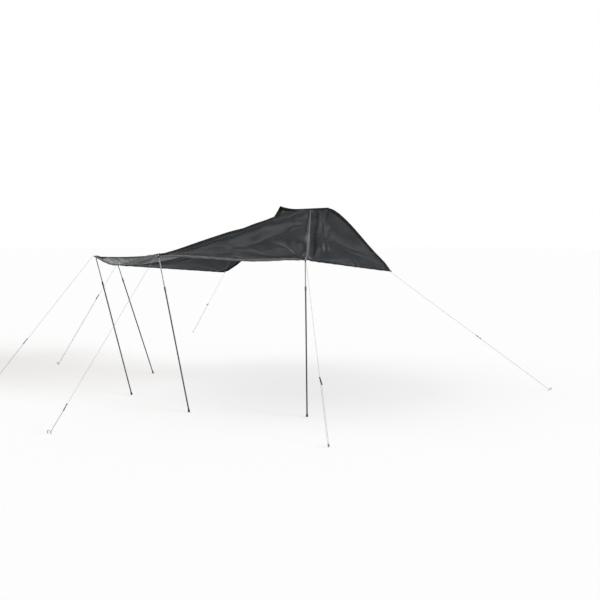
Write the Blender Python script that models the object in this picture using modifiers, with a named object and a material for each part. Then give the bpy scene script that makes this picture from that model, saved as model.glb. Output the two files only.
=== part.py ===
"""Rooftop awning: a shaped fly held by its inner edge, with four poles and six guy lines.

The origin is the middle of the inner edge, where the bead slides into the rail that holds it.
X runs along that edge, -Y points out over the sheltered ground, and +Z is up. All sizes are in metres.
"""

import math

import bmesh
import bpy
from mathutils import Matrix, Vector

# Heights and plan of the fly. Corner heights are above the ground.
RAIL_HEIGHT = 2.477
RAIL_HALF = 0.513
RAIL_REAR_LIFT = 0.06
RAIL_LIFT_FROM = 0.10
BEAD_RADIUS = 0.0035

OUTER_REACH = 3.006
OUTER_FRONT_HALF = 0.710
OUTER_REAR_HALF = 0.739
OUTER_FRONT_HEIGHT = 1.840
OUTER_REAR_HEIGHT = 1.814
SIDE_REACH = 1.972
SIDE_FRONT_HALF = 1.992
SIDE_REAR_HALF = 2.018
SIDE_FRONT_HEIGHT = 1.801
SIDE_REAR_HEIGHT = 1.636
WING_REACH = 0.137
WING_FRONT_HALF = 1.743
WING_REAR_HALF = 1.745
WING_FRONT_HEIGHT = 1.616
WING_REAR_HEIGHT = 1.478

# Cloth
CLOTH_THICK = 0.002
CORNER_MARGIN = 0.030
PATCH_FLAT = 0.085
PATCH_BLEND = 0.200
OUTER_CREASE_HALF = 0.025
SIDE_CREASE_HALF = 0.060
EDGE_BULGE = 0.060
EDGE_BULGE_POWER = 1.5
RAIL_EASE = 0.05
HEM_INSETS = (0.100, 0.045, 0.0)
INNER_ROWS = 8

# Hems in order from the front wing round to the rear wing: how far each hangs, where along it the lowest
# point lies, how pointed that dip is, how far it draws in, and its number of divisions.
HEMS = (
    {"drop": 0.002, "lowest": 0.50, "point": 2.0, "draw": 0.022, "steps": 8},
    {"drop": 0.029, "lowest": 0.39, "point": 6.0, "draw": 0.022, "steps": 10},
    {"drop": 0.110, "lowest": 0.70, "point": 4.8, "draw": 0.084, "steps": 10},
    {"drop": 0.045, "lowest": 0.50, "point": 3.0, "draw": 0.060, "steps": 9},
    {"drop": 0.0, "lowest": 0.50, "point": 2.0, "draw": 0.045, "steps": 8},
)
# Sag of the cloth between the rail and the hem: at each corner, and midway along each hem.
SAGS = (0.0, 0.04, 0.03, 0.02, -0.02, 0.16, 0.22, 0.20, 0.18, 0.15, 0.15)

# Grommets
GROMMET_THROAT = 0.0036
GROMMET_BARREL = 0.0065
GROMMET_FLANGE = 0.0115
GROMMET_PLATE = 0.0009
GROMMET_FLARE = 0.0017

# Poles, each two tubes locked by a twist collar
FOOT_OUTER_FRONT = (0.747, -2.653)
FOOT_OUTER_REAR = (-0.498, -2.677)
FOOT_SIDE_FRONT = (1.865, -1.813)
FOOT_SIDE_REAR = (-1.480, -1.731)
LOWER_REACH = 1.520
SPIGOT_RADIUS = 0.003
SPIGOT_ABOVE = 0.030
SPIGOT_SEAT = 0.028
SPIGOT_BEVEL = 0.0012
SHOULDER_DROP = 0.0055
PLUG_RADIUS = 0.0080
PLUG_HEAD = 0.012
PLUG_STEM = 0.032
PLUG_NOSE = 0.0056
PLUG_TAPER = 0.0036
UPPER_RADIUS = 0.006
UPPER_WALL = 0.001
UPPER_LENGTH = 0.950
LOWER_RADIUS = 0.008
LOWER_WALL = 0.0008
BUSH_LENGTH = 0.030
BUSH_LIP = 0.003
BUSH_EYE = 0.0035
COLLAR_RADIUS = 0.0115
COLLAR_FLUTE = 0.0008
COLLAR_TAPER = 0.84
COLLAR_LENGTH = 0.046
COLLAR_CAP = 0.014
FOOT_RADIUS = 0.0135
FOOT_SOLE = 0.014
FOOT_CUP = 0.024
FOOT_FLAT = 0.008
FOOT_LIP = 0.0105
FOOT_NECK = 0.010
FOOT_FACET = math.radians(30)

# Guy lines, runners and pegs
GUY_RADIUS = 0.0015
EYE_CLEARANCE = 0.0016
STRAND_GAP = 0.0124
EXIT_PAST_EDGE = 0.006
EXIT_HEIGHT = 0.0015
WING_EXIT = 0.014
PEG_APPROACH = 0.030
PEG_OUTER_FRONT = (0.440, -4.187)
PEG_OUTER_REAR = (-1.650, -4.155)
PEG_SIDE_FRONT = (2.790, -2.457)
PEG_SIDE_REAR = (-3.146, -2.442)
PEG_WING_FRONT = (3.244, 1.416)
PEG_WING_REAR = (-4.594, 1.240)
RUNNER_AT_OUTER_FRONT = 0.865
RUNNER_AT_OUTER_REAR = 0.600
RUNNER_AT_SIDE_FRONT = 0.675
RUNNER_AT_SIDE_REAR = 0.305
RUNNER_AT_WING_FRONT = 0.550
RUNNER_AT_WING_REAR = 0.475
RUNNER_LENGTH = 0.088
RUNNER_WIDTH = 0.013
RUNNER_THICK = 0.004
RUNNER_EYE_SPAN = 0.060
RUNNER_EYE_LENGTH = 0.016
RUNNER_EYE_RADIUS = 0.0044
RUNNER_BAR_GAP = 0.0009
RUNNER_END_ROUND = 0.0058
TAIL_PAST_EYE = 0.008
PEG_RADIUS = 0.0035
PEG_SHANK = 0.240
PEG_LOOP_HEIGHT = 0.018
PEG_NECK = 0.020
PEG_HOOK_RADIUS = 0.012
PEG_HOOK_TAIL = 0.014
PEG_POINT = 0.022
PEG_TIP_RADIUS = 0.0005
PEG_LEAN = math.radians(25)

# Shared clearance between touching pieces, how far cutters run past what they cut, and the sides of
# round pieces
FIT = 0.0003
CUT_PAST = 0.005
ROUND = 16

UP = Vector((0, 0, 1))


def at_height(plan, height):
    """A point over a place in the plan, at a height above the ground."""
    return Vector((plan[0], plan[1], height - RAIL_HEIGHT))


# Corners of the fly in order round the hem, each at the middle of its grommet.
GROMMETS = {
    "wing_front": at_height((WING_FRONT_HALF, -WING_REACH), WING_FRONT_HEIGHT),
    "side_front": at_height((SIDE_FRONT_HALF, -SIDE_REACH), SIDE_FRONT_HEIGHT),
    "outer_front": at_height((OUTER_FRONT_HALF, -OUTER_REACH), OUTER_FRONT_HEIGHT),
    "outer_rear": at_height((-OUTER_REAR_HALF, -OUTER_REACH), OUTER_REAR_HEIGHT),
    "side_rear": at_height((-SIDE_REAR_HALF, -SIDE_REACH), SIDE_REAR_HEIGHT),
    "wing_rear": at_height((-WING_REAR_HALF, -WING_REACH), WING_REAR_HEIGHT),
}
CORNERS = list(GROMMETS)
FEET = {
    "outer_front": FOOT_OUTER_FRONT,
    "outer_rear": FOOT_OUTER_REAR,
    "side_front": FOOT_SIDE_FRONT,
    "side_rear": FOOT_SIDE_REAR,
}
PEGS = {
    "outer_front": PEG_OUTER_FRONT,
    "outer_rear": PEG_OUTER_REAR,
    "side_front": PEG_SIDE_FRONT,
    "side_rear": PEG_SIDE_REAR,
    "wing_front": PEG_WING_FRONT,
    "wing_rear": PEG_WING_REAR,
}
RUNNER_AT = {
    "outer_front": RUNNER_AT_OUTER_FRONT,
    "outer_rear": RUNNER_AT_OUTER_REAR,
    "side_front": RUNNER_AT_SIDE_FRONT,
    "side_rear": RUNNER_AT_SIDE_REAR,
    "wing_front": RUNNER_AT_WING_FRONT,
    "wing_rear": RUNNER_AT_WING_REAR,
}

# Materials: colour, metallic, roughness
FINISHES = {
    "charcoal_cloth": ((0.050, 0.050, 0.054), 0.0, 0.80),
    "black_tape": ((0.010, 0.010, 0.011), 0.0, 0.70),
    "nickel": ((0.62, 0.61, 0.58), 1.0, 0.30),
    "bright_steel": ((0.70, 0.70, 0.70), 1.0, 0.25),
    "satin_aluminium": ((0.56, 0.57, 0.58), 1.0, 0.35),
    "grey_anodised": ((0.110, 0.112, 0.116), 0.8, 0.45),
    "black_plastic": ((0.018, 0.018, 0.019), 0.0, 0.50),
    "black_rubber": ((0.014, 0.014, 0.014), 0.0, 0.85),
    "pale_cord": ((0.60, 0.60, 0.57), 0.0, 0.75),
    "galvanised_steel": ((0.45, 0.46, 0.47), 1.0, 0.42),
}


# Scene, materials and collections


def clear_scene():
    """Removes what the startup scene holds."""
    for obj in list(bpy.data.objects):
        bpy.data.objects.remove(obj, do_unlink=True)


def make_materials():
    """One Principled material for each finish."""
    made = {}
    for name, (colour, metallic, roughness) in FINISHES.items():
        material = bpy.data.materials.new(name)
        material.use_nodes = True
        shader = material.node_tree.nodes["Principled BSDF"]
        shader.inputs["Base Color"].default_value = (*colour, 1.0)
        shader.inputs["Metallic"].default_value = metallic
        shader.inputs["Roughness"].default_value = roughness
        material.diffuse_color = (*colour, 1.0)
        made[name] = material
    return made


def make_collection(name):
    """A collection linked to the scene."""
    collection = bpy.data.collections.new(name)
    bpy.context.scene.collection.children.link(collection)
    return collection


clear_scene()
MATERIALS = make_materials()
AWNING = make_collection("rooftop_awning")
CUTTERS = make_collection("cutters")


# Helpers for objects and shapes


def add_object(name, data, finish, matrix=None, parent=None):
    """Puts a mesh or curve in the awning's collection, with its own material."""
    obj = bpy.data.objects.new(name, data)
    AWNING.objects.link(obj)
    if not data.materials:
        data.materials.append(MATERIALS[finish])
    place(obj, matrix, parent)
    return obj


def place(obj, matrix, parent):
    """Sets an object's place in the world, or under its parent."""
    if parent is not None:
        obj.parent = parent
    if matrix is not None:
        obj.matrix_local = matrix


def add_empty(name, matrix, parent=None):
    """An empty on a joint's axis, which carries the pieces that move there."""
    empty = bpy.data.objects.new(name, None)
    empty.empty_display_size = 0.05
    AWNING.objects.link(empty)
    place(empty, matrix, parent)
    return empty


def frame_at(origin, z_axis, x_hint):
    """A placed frame: Z along z_axis, and X as near x_hint as square allows."""
    z = z_axis.normalized()
    y = z.cross(x_hint).normalized()
    x = y.cross(z)
    turn = Matrix((x, y, z)).transposed()
    return Matrix.Translation(origin) @ turn.to_4x4()


def smooth_round(mesh):
    """Shades a round piece smooth, with its edges kept crisp."""
    mesh.shade_smooth()
    mesh.set_sharp_from_angle(angle=math.radians(40))


def turned_mesh(name, profile, closed=False, steps=ROUND):
    """A turned piece from (radius, height) points that run down its outer side.

    A closed profile comes back up its bore. An open one starts and ends on the axis.
    """
    bm = bmesh.new()
    points = [bm.verts.new((radius, 0, height)) for radius, height in profile]
    pairs = list(zip(points, points[1:]))
    if closed:
        pairs.append((points[-1], points[0]))
    for first, second in pairs:
        bm.edges.new((first, second))
    mesh = bpy.data.meshes.new(name + "_profile")
    bm.to_mesh(mesh)
    bm.free()
    guide = bpy.data.objects.new(name + "_profile", mesh)
    CUTTERS.objects.link(guide)
    screw = guide.modifiers.new("turn", "SCREW")
    screw.axis = "Z"
    screw.steps = steps
    screw.render_steps = steps
    screw.use_merge_vertices = True
    screw.merge_threshold = 0.00001
    return baked_mesh(name, guide)


def baked_mesh(name, obj):
    """The evaluated mesh of a guide object, with loose caps welded. The guide is removed."""
    graph = bpy.context.evaluated_depsgraph_get()
    graph.update()
    mesh = bpy.data.meshes.new_from_object(obj.evaluated_get(graph))
    mesh.name = name
    bm = bmesh.new()
    bm.from_mesh(mesh)
    bmesh.ops.remove_doubles(bm, verts=bm.verts, dist=0.000001)
    bmesh.ops.recalc_face_normals(bm, faces=bm.faces)
    bm.to_mesh(mesh)
    bm.free()
    bpy.data.objects.remove(obj, do_unlink=True)
    smooth_round(mesh)
    return mesh


def cylinder_mesh(name, radius, bottom, top, sides=ROUND):
    """A capped cylinder on Z."""
    bm = bmesh.new()
    depth = top - bottom
    middle = Matrix.Translation((0, 0, (bottom + top) / 2))
    bmesh.ops.create_cone(
        bm, cap_ends=True, segments=sides, radius1=radius, radius2=radius, depth=depth, matrix=middle
    )
    mesh = bpy.data.meshes.new(name)
    bm.to_mesh(mesh)
    bm.free()
    return mesh


def add_cutter(name, mesh, matrix):
    """A helper solid for a Boolean, left out of renders."""
    cutter = bpy.data.objects.new(name, mesh)
    cutter.hide_render = True
    cutter.display_type = "WIRE"
    cutter.matrix_world = matrix
    CUTTERS.objects.link(cutter)
    return cutter


def boolean(obj, other, operation="DIFFERENCE"):
    """Cuts or joins with another solid."""
    modifier = obj.modifiers.new(operation.lower() + "_" + other.name, "BOOLEAN")
    modifier.operation = operation
    modifier.solver = "EXACT"
    modifier.object = other


def add_tube(name, points, radius, finish, radii=None):
    """A rod or cord through a list of points, with filled ends."""
    curve = bpy.data.curves.new(name, "CURVE")
    curve.dimensions = "3D"
    curve.bevel_depth = radius
    curve.bevel_resolution = 2
    curve.use_fill_caps = True
    spline = curve.splines.new("POLY")
    spline.points.add(len(points) - 1)
    for index, point in enumerate(points):
        spline.points[index].co = (*point, 1.0)
        spline.points[index].radius = radii[index] if radii else 1.0
    return add_object(name, curve, finish)


def smooth_route(route, bends):
    """Points on one smooth curve through a route's own points.

    Stretches that start or end at a bend get that many points; the straight ones keep their ends.
    """
    points = []
    count = len(route)
    for index in range(count - 1):
        before = route[max(index - 1, 0)]
        start = route[index]
        end = route[index + 1]
        after = route[min(index + 2, count - 1)]
        span = (end - start).length
        leave = (end - before).normalized() * span
        arrive = (after - start).normalized() * span
        for step in range(bends[index]):
            t = step / bends[index]
            points.append(
                start * (2 * t**3 - 3 * t**2 + 1)
                + leave * (t**3 - 2 * t**2 + t)
                + end * (3 * t**2 - 2 * t**3)
                + arrive * (t**3 - t**2)
            )
    points.append(route[-1])
    return points


# Corners: each has a small flat patch, square to its pole or level with its two edges


def pole_foot(corner):
    """The middle of a foot's flat sole, just high enough for its low edge to meet the ground."""
    plan = FEET[corner]
    lean = (GROMMETS[corner] - at_height(plan, 0)).angle(UP)
    return at_height(plan, FOOT_FLAT * math.sin(lean))


def edge_directions(corner):
    """Unit directions from a corner along its two edges."""
    index = CORNERS.index(corner)
    here = GROMMETS[corner]
    before = GROMMETS[CORNERS[index - 1]] if index > 0 else rail_point(RAIL_HALF)
    last = index == len(CORNERS) - 1
    after = rail_point(-RAIL_HALF) if last else GROMMETS[CORNERS[index + 1]]
    return (before - here).normalized(), (after - here).normalized()


def corner_normal(corner):
    """The way up from the cloth at a corner."""
    if corner in FEET:
        return (GROMMETS[corner] - pole_foot(corner)).normalized()
    first, second = edge_directions(corner)
    normal = first.cross(second).normalized()
    return normal if normal.z > 0 else -normal


def corner_outward(corner):
    """Outward along the cloth, midway between a corner's two edges."""
    first, second = edge_directions(corner)
    normal = corner_normal(corner)
    outward = -(first + second)
    return (outward - normal * outward.dot(normal)).normalized()


# Fly: a sheet lofted from the rail edge to the hem


def rail_point(x):
    """The bead's centre line, which rises a little towards its rear end."""
    past = max(0.0, (-x - RAIL_LIFT_FROM) / (RAIL_HALF - RAIL_LIFT_FROM))
    return Vector((x, 0, RAIL_REAR_LIFT * past * past))


def dip(f, lowest, point):
    """A dip from 0 at the ends to 1 at its lowest place."""
    if f <= 0 or f >= 1:
        return 0.0
    return (f / lowest) ** (point * lowest) * ((1 - f) / (1 - lowest)) ** (point * (1 - lowest))


def hem_point(k, f):
    """A point on hem k, where f goes from 0 at its first corner to 1 at its second."""
    hem = HEMS[k]
    first = CORNERS[k]
    second = CORNERS[k + 1]
    start = GROMMETS[first] + corner_outward(first) * CORNER_MARGIN
    end = GROMMETS[second] + corner_outward(second) * CORNER_MARGIN
    along = end - start
    inward = Vector((along.y, -along.x, 0)).normalized()
    point = start.lerp(end, f)
    point += inward * hem["draw"] * 4 * f * (1 - f)
    point.z -= hem["drop"] * dip(f, hem["lowest"], hem["point"])
    return point


def cloth_point(u, t):
    """A point of the fly: u counts hems from the front wing, and t goes from the rail to the hem."""
    k = min(int(u), len(HEMS) - 1)
    f = u - k
    ends = (RAIL_HALF, SIDE_CREASE_HALF, OUTER_CREASE_HALF, -OUTER_CREASE_HALF, -SIDE_CREASE_HALF, -RAIL_HALF)
    rail = rail_point(ends[k] + (ends[k + 1] - ends[k]) * f)
    hem = hem_point(k, f)
    rail += Vector((0, hem.y, hem.z - rail.z)).normalized() * (BEAD_RADIUS + CLOTH_THICK / 2 + FIT)
    point = rail.lerp(hem, t)
    half = min(int(2 * u), len(SAGS) - 2)
    blend = 2 * u - half
    blend = blend * blend * (3 - 2 * blend)
    sag = SAGS[half] + (SAGS[half + 1] - SAGS[half]) * blend
    point.z -= sag * 4 * t * (1 - t)
    if u < 1:
        point.z += EDGE_BULGE * (1 - u) ** EDGE_BULGE_POWER * (1 - t) * (1 - math.exp(-t / RAIL_EASE))
    return point


def flattened(point):
    """The same point, drawn onto the flat patch of a corner that is near."""
    for corner, grommet in GROMMETS.items():
        distance = (point - grommet).length
        if distance >= PATCH_BLEND:
            continue
        share = min(1.0, (PATCH_BLEND - distance) / (PATCH_BLEND - PATCH_FLAT))
        share = share * share * (3 - 2 * share)
        normal = corner_normal(corner)
        point = point - normal * (point - grommet).dot(normal) * share
    return point


def hem_columns():
    """Places along the hem, closer together near the corners."""
    columns = [0.0]
    for k, hem in enumerate(HEMS):
        for step in range(1, hem["steps"] + 1):
            columns.append(k + 0.5 - 0.5 * math.cos(math.pi * step / hem["steps"]))
    return columns


def cloth_rows(u):
    """Places from the rail to the hem: even rows, then two close to the hem."""
    reach = (cloth_point(u, 1) - cloth_point(u, 0)).length
    last = 1 - HEM_INSETS[0] / reach
    rows = [last * row / INNER_ROWS for row in range(INNER_ROWS + 1)]
    return rows + [1 - inset / reach for inset in HEM_INSETS[1:]]


def make_canopy():
    """The fly: one sheet with its hems, creases and sag, thickened, with a hole at each grommet."""
    columns = hem_columns()
    row_count = INNER_ROWS + len(HEM_INSETS) - 1
    bm = bmesh.new()
    bmesh.ops.create_grid(bm, x_segments=len(columns) - 1, y_segments=row_count, size=1)
    rows = [cloth_rows(u) for u in columns]
    for vert in bm.verts:
        column = round((vert.co.x + 1) / 2 * (len(columns) - 1))
        row = round((vert.co.y + 1) / 2 * row_count)
        vert.co = flattened(cloth_point(columns[column], rows[column][row]))
    bmesh.ops.recalc_face_normals(bm, faces=bm.faces)
    mesh = bpy.data.meshes.new("canopy")
    bm.to_mesh(mesh)
    bm.free()
    smooth_round(mesh)
    canopy = add_object("canopy", mesh, "charcoal_cloth")
    shell = canopy.modifiers.new("thickness", "SOLIDIFY")
    shell.thickness = CLOTH_THICK
    shell.offset = 0
    for corner in CORNERS:
        hole = cylinder_mesh(corner + "_hole", GROMMET_BARREL + FIT, -CUT_PAST, CUT_PAST)
        cutter = add_cutter(corner + "_hole", hole, corner_frame(corner))
        boolean(canopy, cutter)


def make_rail_bead():
    """The bead along the inner edge, which slides into a rail."""
    count = 14
    points = [rail_point(RAIL_HALF - 2 * RAIL_HALF * step / count) for step in range(count + 1)]
    add_tube("rail_bead", points, BEAD_RADIUS, "black_tape")


# Grommets


def corner_frame(corner):
    """The frame of a corner's patch: Z up from the cloth, and X towards its peg."""
    grommet = GROMMETS[corner]
    return frame_at(grommet, corner_normal(corner), at_height(PEGS[corner], 0) - grommet)


def make_grommets():
    """Spool-shaped eyelets: a flared throat, and a plate on each side of the cloth."""
    slot = CLOTH_THICK / 2 + FIT
    face = slot + GROMMET_PLATE
    profile = (
        (GROMMET_THROAT + GROMMET_FLARE, face),
        (GROMMET_FLANGE, face - GROMMET_PLATE / 3),
        (GROMMET_FLANGE, slot),
        (GROMMET_BARREL, slot),
        (GROMMET_BARREL, -slot),
        (GROMMET_FLANGE, -slot),
        (GROMMET_FLANGE, -face + GROMMET_PLATE / 3),
        (GROMMET_THROAT + GROMMET_FLARE, -face),
        (GROMMET_THROAT, -slot / 2),
        (GROMMET_THROAT, slot / 2),
    )
    mesh = turned_mesh("grommet", profile, closed=True)
    for corner in CORNERS:
        add_object(corner + "_grommet", mesh, "nickel", corner_frame(corner))


# Poles. Heights are along the pole, from the grommet's middle at 0 down


def spigot_mesh():
    """The steel pin: rounded on top, and seated in the plug."""
    seat = -SHOULDER_DROP - SPIGOT_SEAT
    profile = (
        (0, SPIGOT_ABOVE),
        (SPIGOT_RADIUS - SPIGOT_BEVEL, SPIGOT_ABOVE),
        (SPIGOT_RADIUS, SPIGOT_ABOVE - SPIGOT_BEVEL),
        (SPIGOT_RADIUS, seat),
        (0, seat),
    )
    return turned_mesh("spigot", profile)


def plug_mesh():
    """The plug in the top of the upper tube: a shouldered head, a stem, and a blind hole for the pin."""
    top = -SHOULDER_DROP
    under = top - PLUG_HEAD
    stem = UPPER_RADIUS - UPPER_WALL - FIT
    hole = SPIGOT_RADIUS + FIT
    floor = top - SPIGOT_SEAT - FIT
    profile = (
        (hole, top),
        (PLUG_NOSE, top),
        (PLUG_RADIUS, top - PLUG_TAPER),
        (PLUG_RADIUS, under),
        (stem, under),
        (stem, under - PLUG_STEM),
        (0, under - PLUG_STEM),
    )
    bore = ((0, floor), (hole, floor))
    return turned_mesh("top_plug", bore + profile)


def upper_top():
    """Height of the upper tube's top end, against the plug's head."""
    return -SHOULDER_DROP - PLUG_HEAD - FIT


def upper_tube_mesh():
    """The thin tube."""
    top = upper_top()
    bottom = top - UPPER_LENGTH
    bore = UPPER_RADIUS - UPPER_WALL
    profile = ((UPPER_RADIUS, top), (UPPER_RADIUS, bottom), (bore, bottom), (bore, top))
    return turned_mesh("upper_tube", profile, closed=True)


def bush_mesh():
    """The guide bush on the upper tube's lower end, which runs inside the lower tube."""
    end = upper_top() - UPPER_LENGTH
    top = end + BUSH_LENGTH
    outer = LOWER_RADIUS - LOWER_WALL - FIT
    bore = UPPER_RADIUS + FIT
    profile = (
        (outer, top),
        (outer, end - BUSH_LIP),
        (BUSH_EYE, end - BUSH_LIP),
        (BUSH_EYE, end - FIT),
        (bore, end - FIT),
        (bore, top),
    )
    return turned_mesh("guide_bush", profile, closed=True)


def fluted_body_mesh(bottom, top):
    """A grip with upright flutes that narrows to its top."""
    mesh = cylinder_mesh("collar_grip", COLLAR_RADIUS, bottom, top, sides=2 * ROUND)
    for index, vert in enumerate(mesh.vertices):
        flute = COLLAR_FLUTE if (index // 2) % 2 else 0.0
        scale = (COLLAR_RADIUS - flute) / COLLAR_RADIUS
        scale *= COLLAR_TAPER if vert.co.z > (bottom + top) / 2 else 1.0
        vert.co.x *= scale
        vert.co.y *= scale
    return mesh


def add_collar(name, shown, parent):
    """The twist collar over the joint of the two tubes, bored in two steps."""
    top = -shown
    bottom = top - COLLAR_LENGTH
    step = top - COLLAR_CAP
    narrow = UPPER_RADIUS + FIT
    wide = LOWER_RADIUS + FIT
    profile = (
        (0, top + CUT_PAST),
        (narrow, top + CUT_PAST),
        (narrow, step),
        (wide, step),
        (wide, bottom - CUT_PAST),
        (0, bottom - CUT_PAST),
    )
    cutter = add_cutter(name + "_bore", turned_mesh(name + "_bore", profile), parent.matrix_world)
    collar = add_object(name, fluted_body_mesh(bottom, top), "black_plastic", Matrix(), parent)
    boolean(collar, cutter)


def lower_tube_mesh(name, shown, length):
    """The thick tube, from inside the collar to inside the foot."""
    top = -shown - COLLAR_CAP - FIT
    bottom = -length + FOOT_SOLE + FIT
    bore = LOWER_RADIUS - LOWER_WALL
    profile = ((LOWER_RADIUS, top), (LOWER_RADIUS, bottom), (bore, bottom), (bore, top))
    return turned_mesh(name, profile, closed=True)


def foot_mesh(name, length):
    """The ball-like rubber foot: a cup for the tube, and a flat sole."""
    sole = -length
    floor = sole + FOOT_SOLE
    lip = floor + FOOT_CUP
    cup = LOWER_RADIUS + FIT
    middle = sole + FOOT_RADIUS
    facet = FOOT_RADIUS * math.cos(FOOT_FACET)
    facet_rise = FOOT_RADIUS * math.sin(FOOT_FACET)
    profile = (
        (0, floor),
        (cup, floor),
        (cup, lip),
        (FOOT_LIP, lip),
        (FOOT_LIP, middle + FOOT_NECK),
        (facet, middle + facet_rise),
        (FOOT_RADIUS, middle),
        (facet, middle - facet_rise),
        (FOOT_FLAT, sole),
        (0, sole),
    )
    return turned_mesh(name, profile)


def make_poles():
    """The four poles, each hung from its grommet's middle."""
    spigot = spigot_mesh()
    plug = plug_mesh()
    upper = upper_tube_mesh()
    bush = bush_mesh()
    for corner in FEET:
        grommet = GROMMETS[corner]
        foot = pole_foot(corner)
        length = (grommet - foot).length
        shown = length - LOWER_REACH
        pole_frame = frame_at(grommet, grommet - foot, grommet - foot - UP)
        swing = add_empty(corner + "_pole", pole_frame)
        bpy.context.view_layer.update()
        add_object(corner + "_spigot", spigot, "bright_steel", Matrix(), swing)
        add_object(corner + "_top_plug", plug, "black_plastic", Matrix(), swing)
        add_object(corner + "_upper_tube", upper, "satin_aluminium", Matrix(), swing)
        add_object(corner + "_guide_bush", bush, "black_plastic", Matrix(), swing)
        slide = add_empty(corner + "_pole_slide", Matrix(), swing)
        bpy.context.view_layer.update()
        lower = lower_tube_mesh(corner + "_lower_tube", shown, length)
        add_object(corner + "_lower_tube", lower, "grey_anodised", Matrix(), slide)
        foot_piece = foot_mesh(corner + "_foot", length)
        add_object(corner + "_foot", foot_piece, "black_rubber", Matrix(), slide)
        add_collar(corner + "_collar", shown, slide)


# Guy lines. A line leaves its corner, runs through the runner, round the peg and back up to the runner


def peg_point(corner):
    """The point on a peg's shank that its line goes round."""
    return at_height(PEGS[corner], PEG_LOOP_HEIGHT)


def corner_exit(corner):
    """Where a line leaves the corner: over the cloth at a pole, and from under the eyelet at a wing tip."""
    frame = corner_frame(corner)
    if corner in FEET:
        return frame @ Vector((CORNER_MARGIN + EXIT_PAST_EDGE, 0, EXIT_HEIGHT))
    return frame @ Vector((WING_EXIT, 0, -WING_EXIT))


def line_frame(corner):
    """The main strand's frame: origin at the corner's exit, Z up the line, X away from the return strand."""
    leave = corner_exit(corner)
    to_peg = peg_point(corner) - leave
    side = to_peg.cross(UP).normalized()
    arrive = peg_point(corner) + side * STRAND_GAP / 2
    return frame_at(leave, leave - arrive, side)


def line_length(corner):
    """From the corner's exit down the main strand to beside the peg."""
    side = line_frame(corner).to_3x3().col[0] * STRAND_GAP / 2
    return (peg_point(corner) + side - corner_exit(corner)).length


def corner_route(corner):
    """The first part of a route, in the corner's own frame, and the number of points on each stretch."""
    ring = SPIGOT_RADIUS + GUY_RADIUS + EYE_CLEARANCE
    seat = CLOTH_THICK / 2 + FIT + GROMMET_PLATE + GUY_RADIUS + FIT
    frame = corner_frame(corner)
    if corner not in FEET:
        aside = GROMMET_THROAT - GUY_RADIUS - FIT
        local = ((aside, 0, 0.010), (aside, 0, 0), (aside + 0.0008, 0, -0.006), (aside + 0.0045, 0, -0.0105))
        return [frame @ Vector(point) for point in local], [1, 2, 2, 2]
    knot = 2 * ring
    pinch = GUY_RADIUS + 2 * FIT
    local = [(knot, -pinch, seat), (ring * 1.1, -ring * 0.72, seat)]
    for degrees in (-70, -125, 180, 125, 70):
        angle = math.radians(degrees)
        local.append((ring * math.cos(angle), ring * math.sin(angle), seat))
    local += [(ring * 1.1, ring * 0.72, seat), (knot, pinch, seat), (CORNER_MARGIN - 0.003, 0, seat)]
    return [frame @ Vector(point) for point in local], [1, 1, 2, 2, 2, 2, 1, 1, 2, 2]


def make_guy_line(corner):
    """One guy line: its end at the corner, the main strand, the turn round the peg and the return strand."""
    route, bends = corner_route(corner)
    strand = line_frame(corner)
    down = line_length(corner)
    half = STRAND_GAP / 2
    lean = strand.to_3x3().col[2].angle(peg_axis(corner))
    reach = (PEG_RADIUS + GUY_RADIUS + FIT) / math.sin(lean)
    turn = max(reach - half, -half)
    tail = runner_height(corner) - RUNNER_EYE_SPAN / 2 + RUNNER_EYE_LENGTH / 2 + TAIL_PAST_EYE
    local = [(0, 0, 0), (0, 0, -down / 2), (0, 0, -down + PEG_APPROACH), (0, 0, -down - turn)]
    for degrees in (45, 90, 135):
        angle = math.radians(degrees)
        local.append((-half + half * math.cos(angle), 0, -down - turn - half * math.sin(angle)))
    local += [(-2 * half, 0, -down - turn), (-2 * half, 0, -down + PEG_APPROACH), (-2 * half, 0, tail)]
    route += [strand @ Vector(point) for point in local]
    bends += [1, 1, 1, 2, 2, 2, 2, 1, 1]
    add_tube(corner + "_guy_line", smooth_route(route, bends), GUY_RADIUS, "pale_cord")


def runner_height(corner):
    """The runner's middle along the main strand, as a negative height below the corner's exit."""
    return -line_length(corner) * RUNNER_AT[corner]


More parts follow.
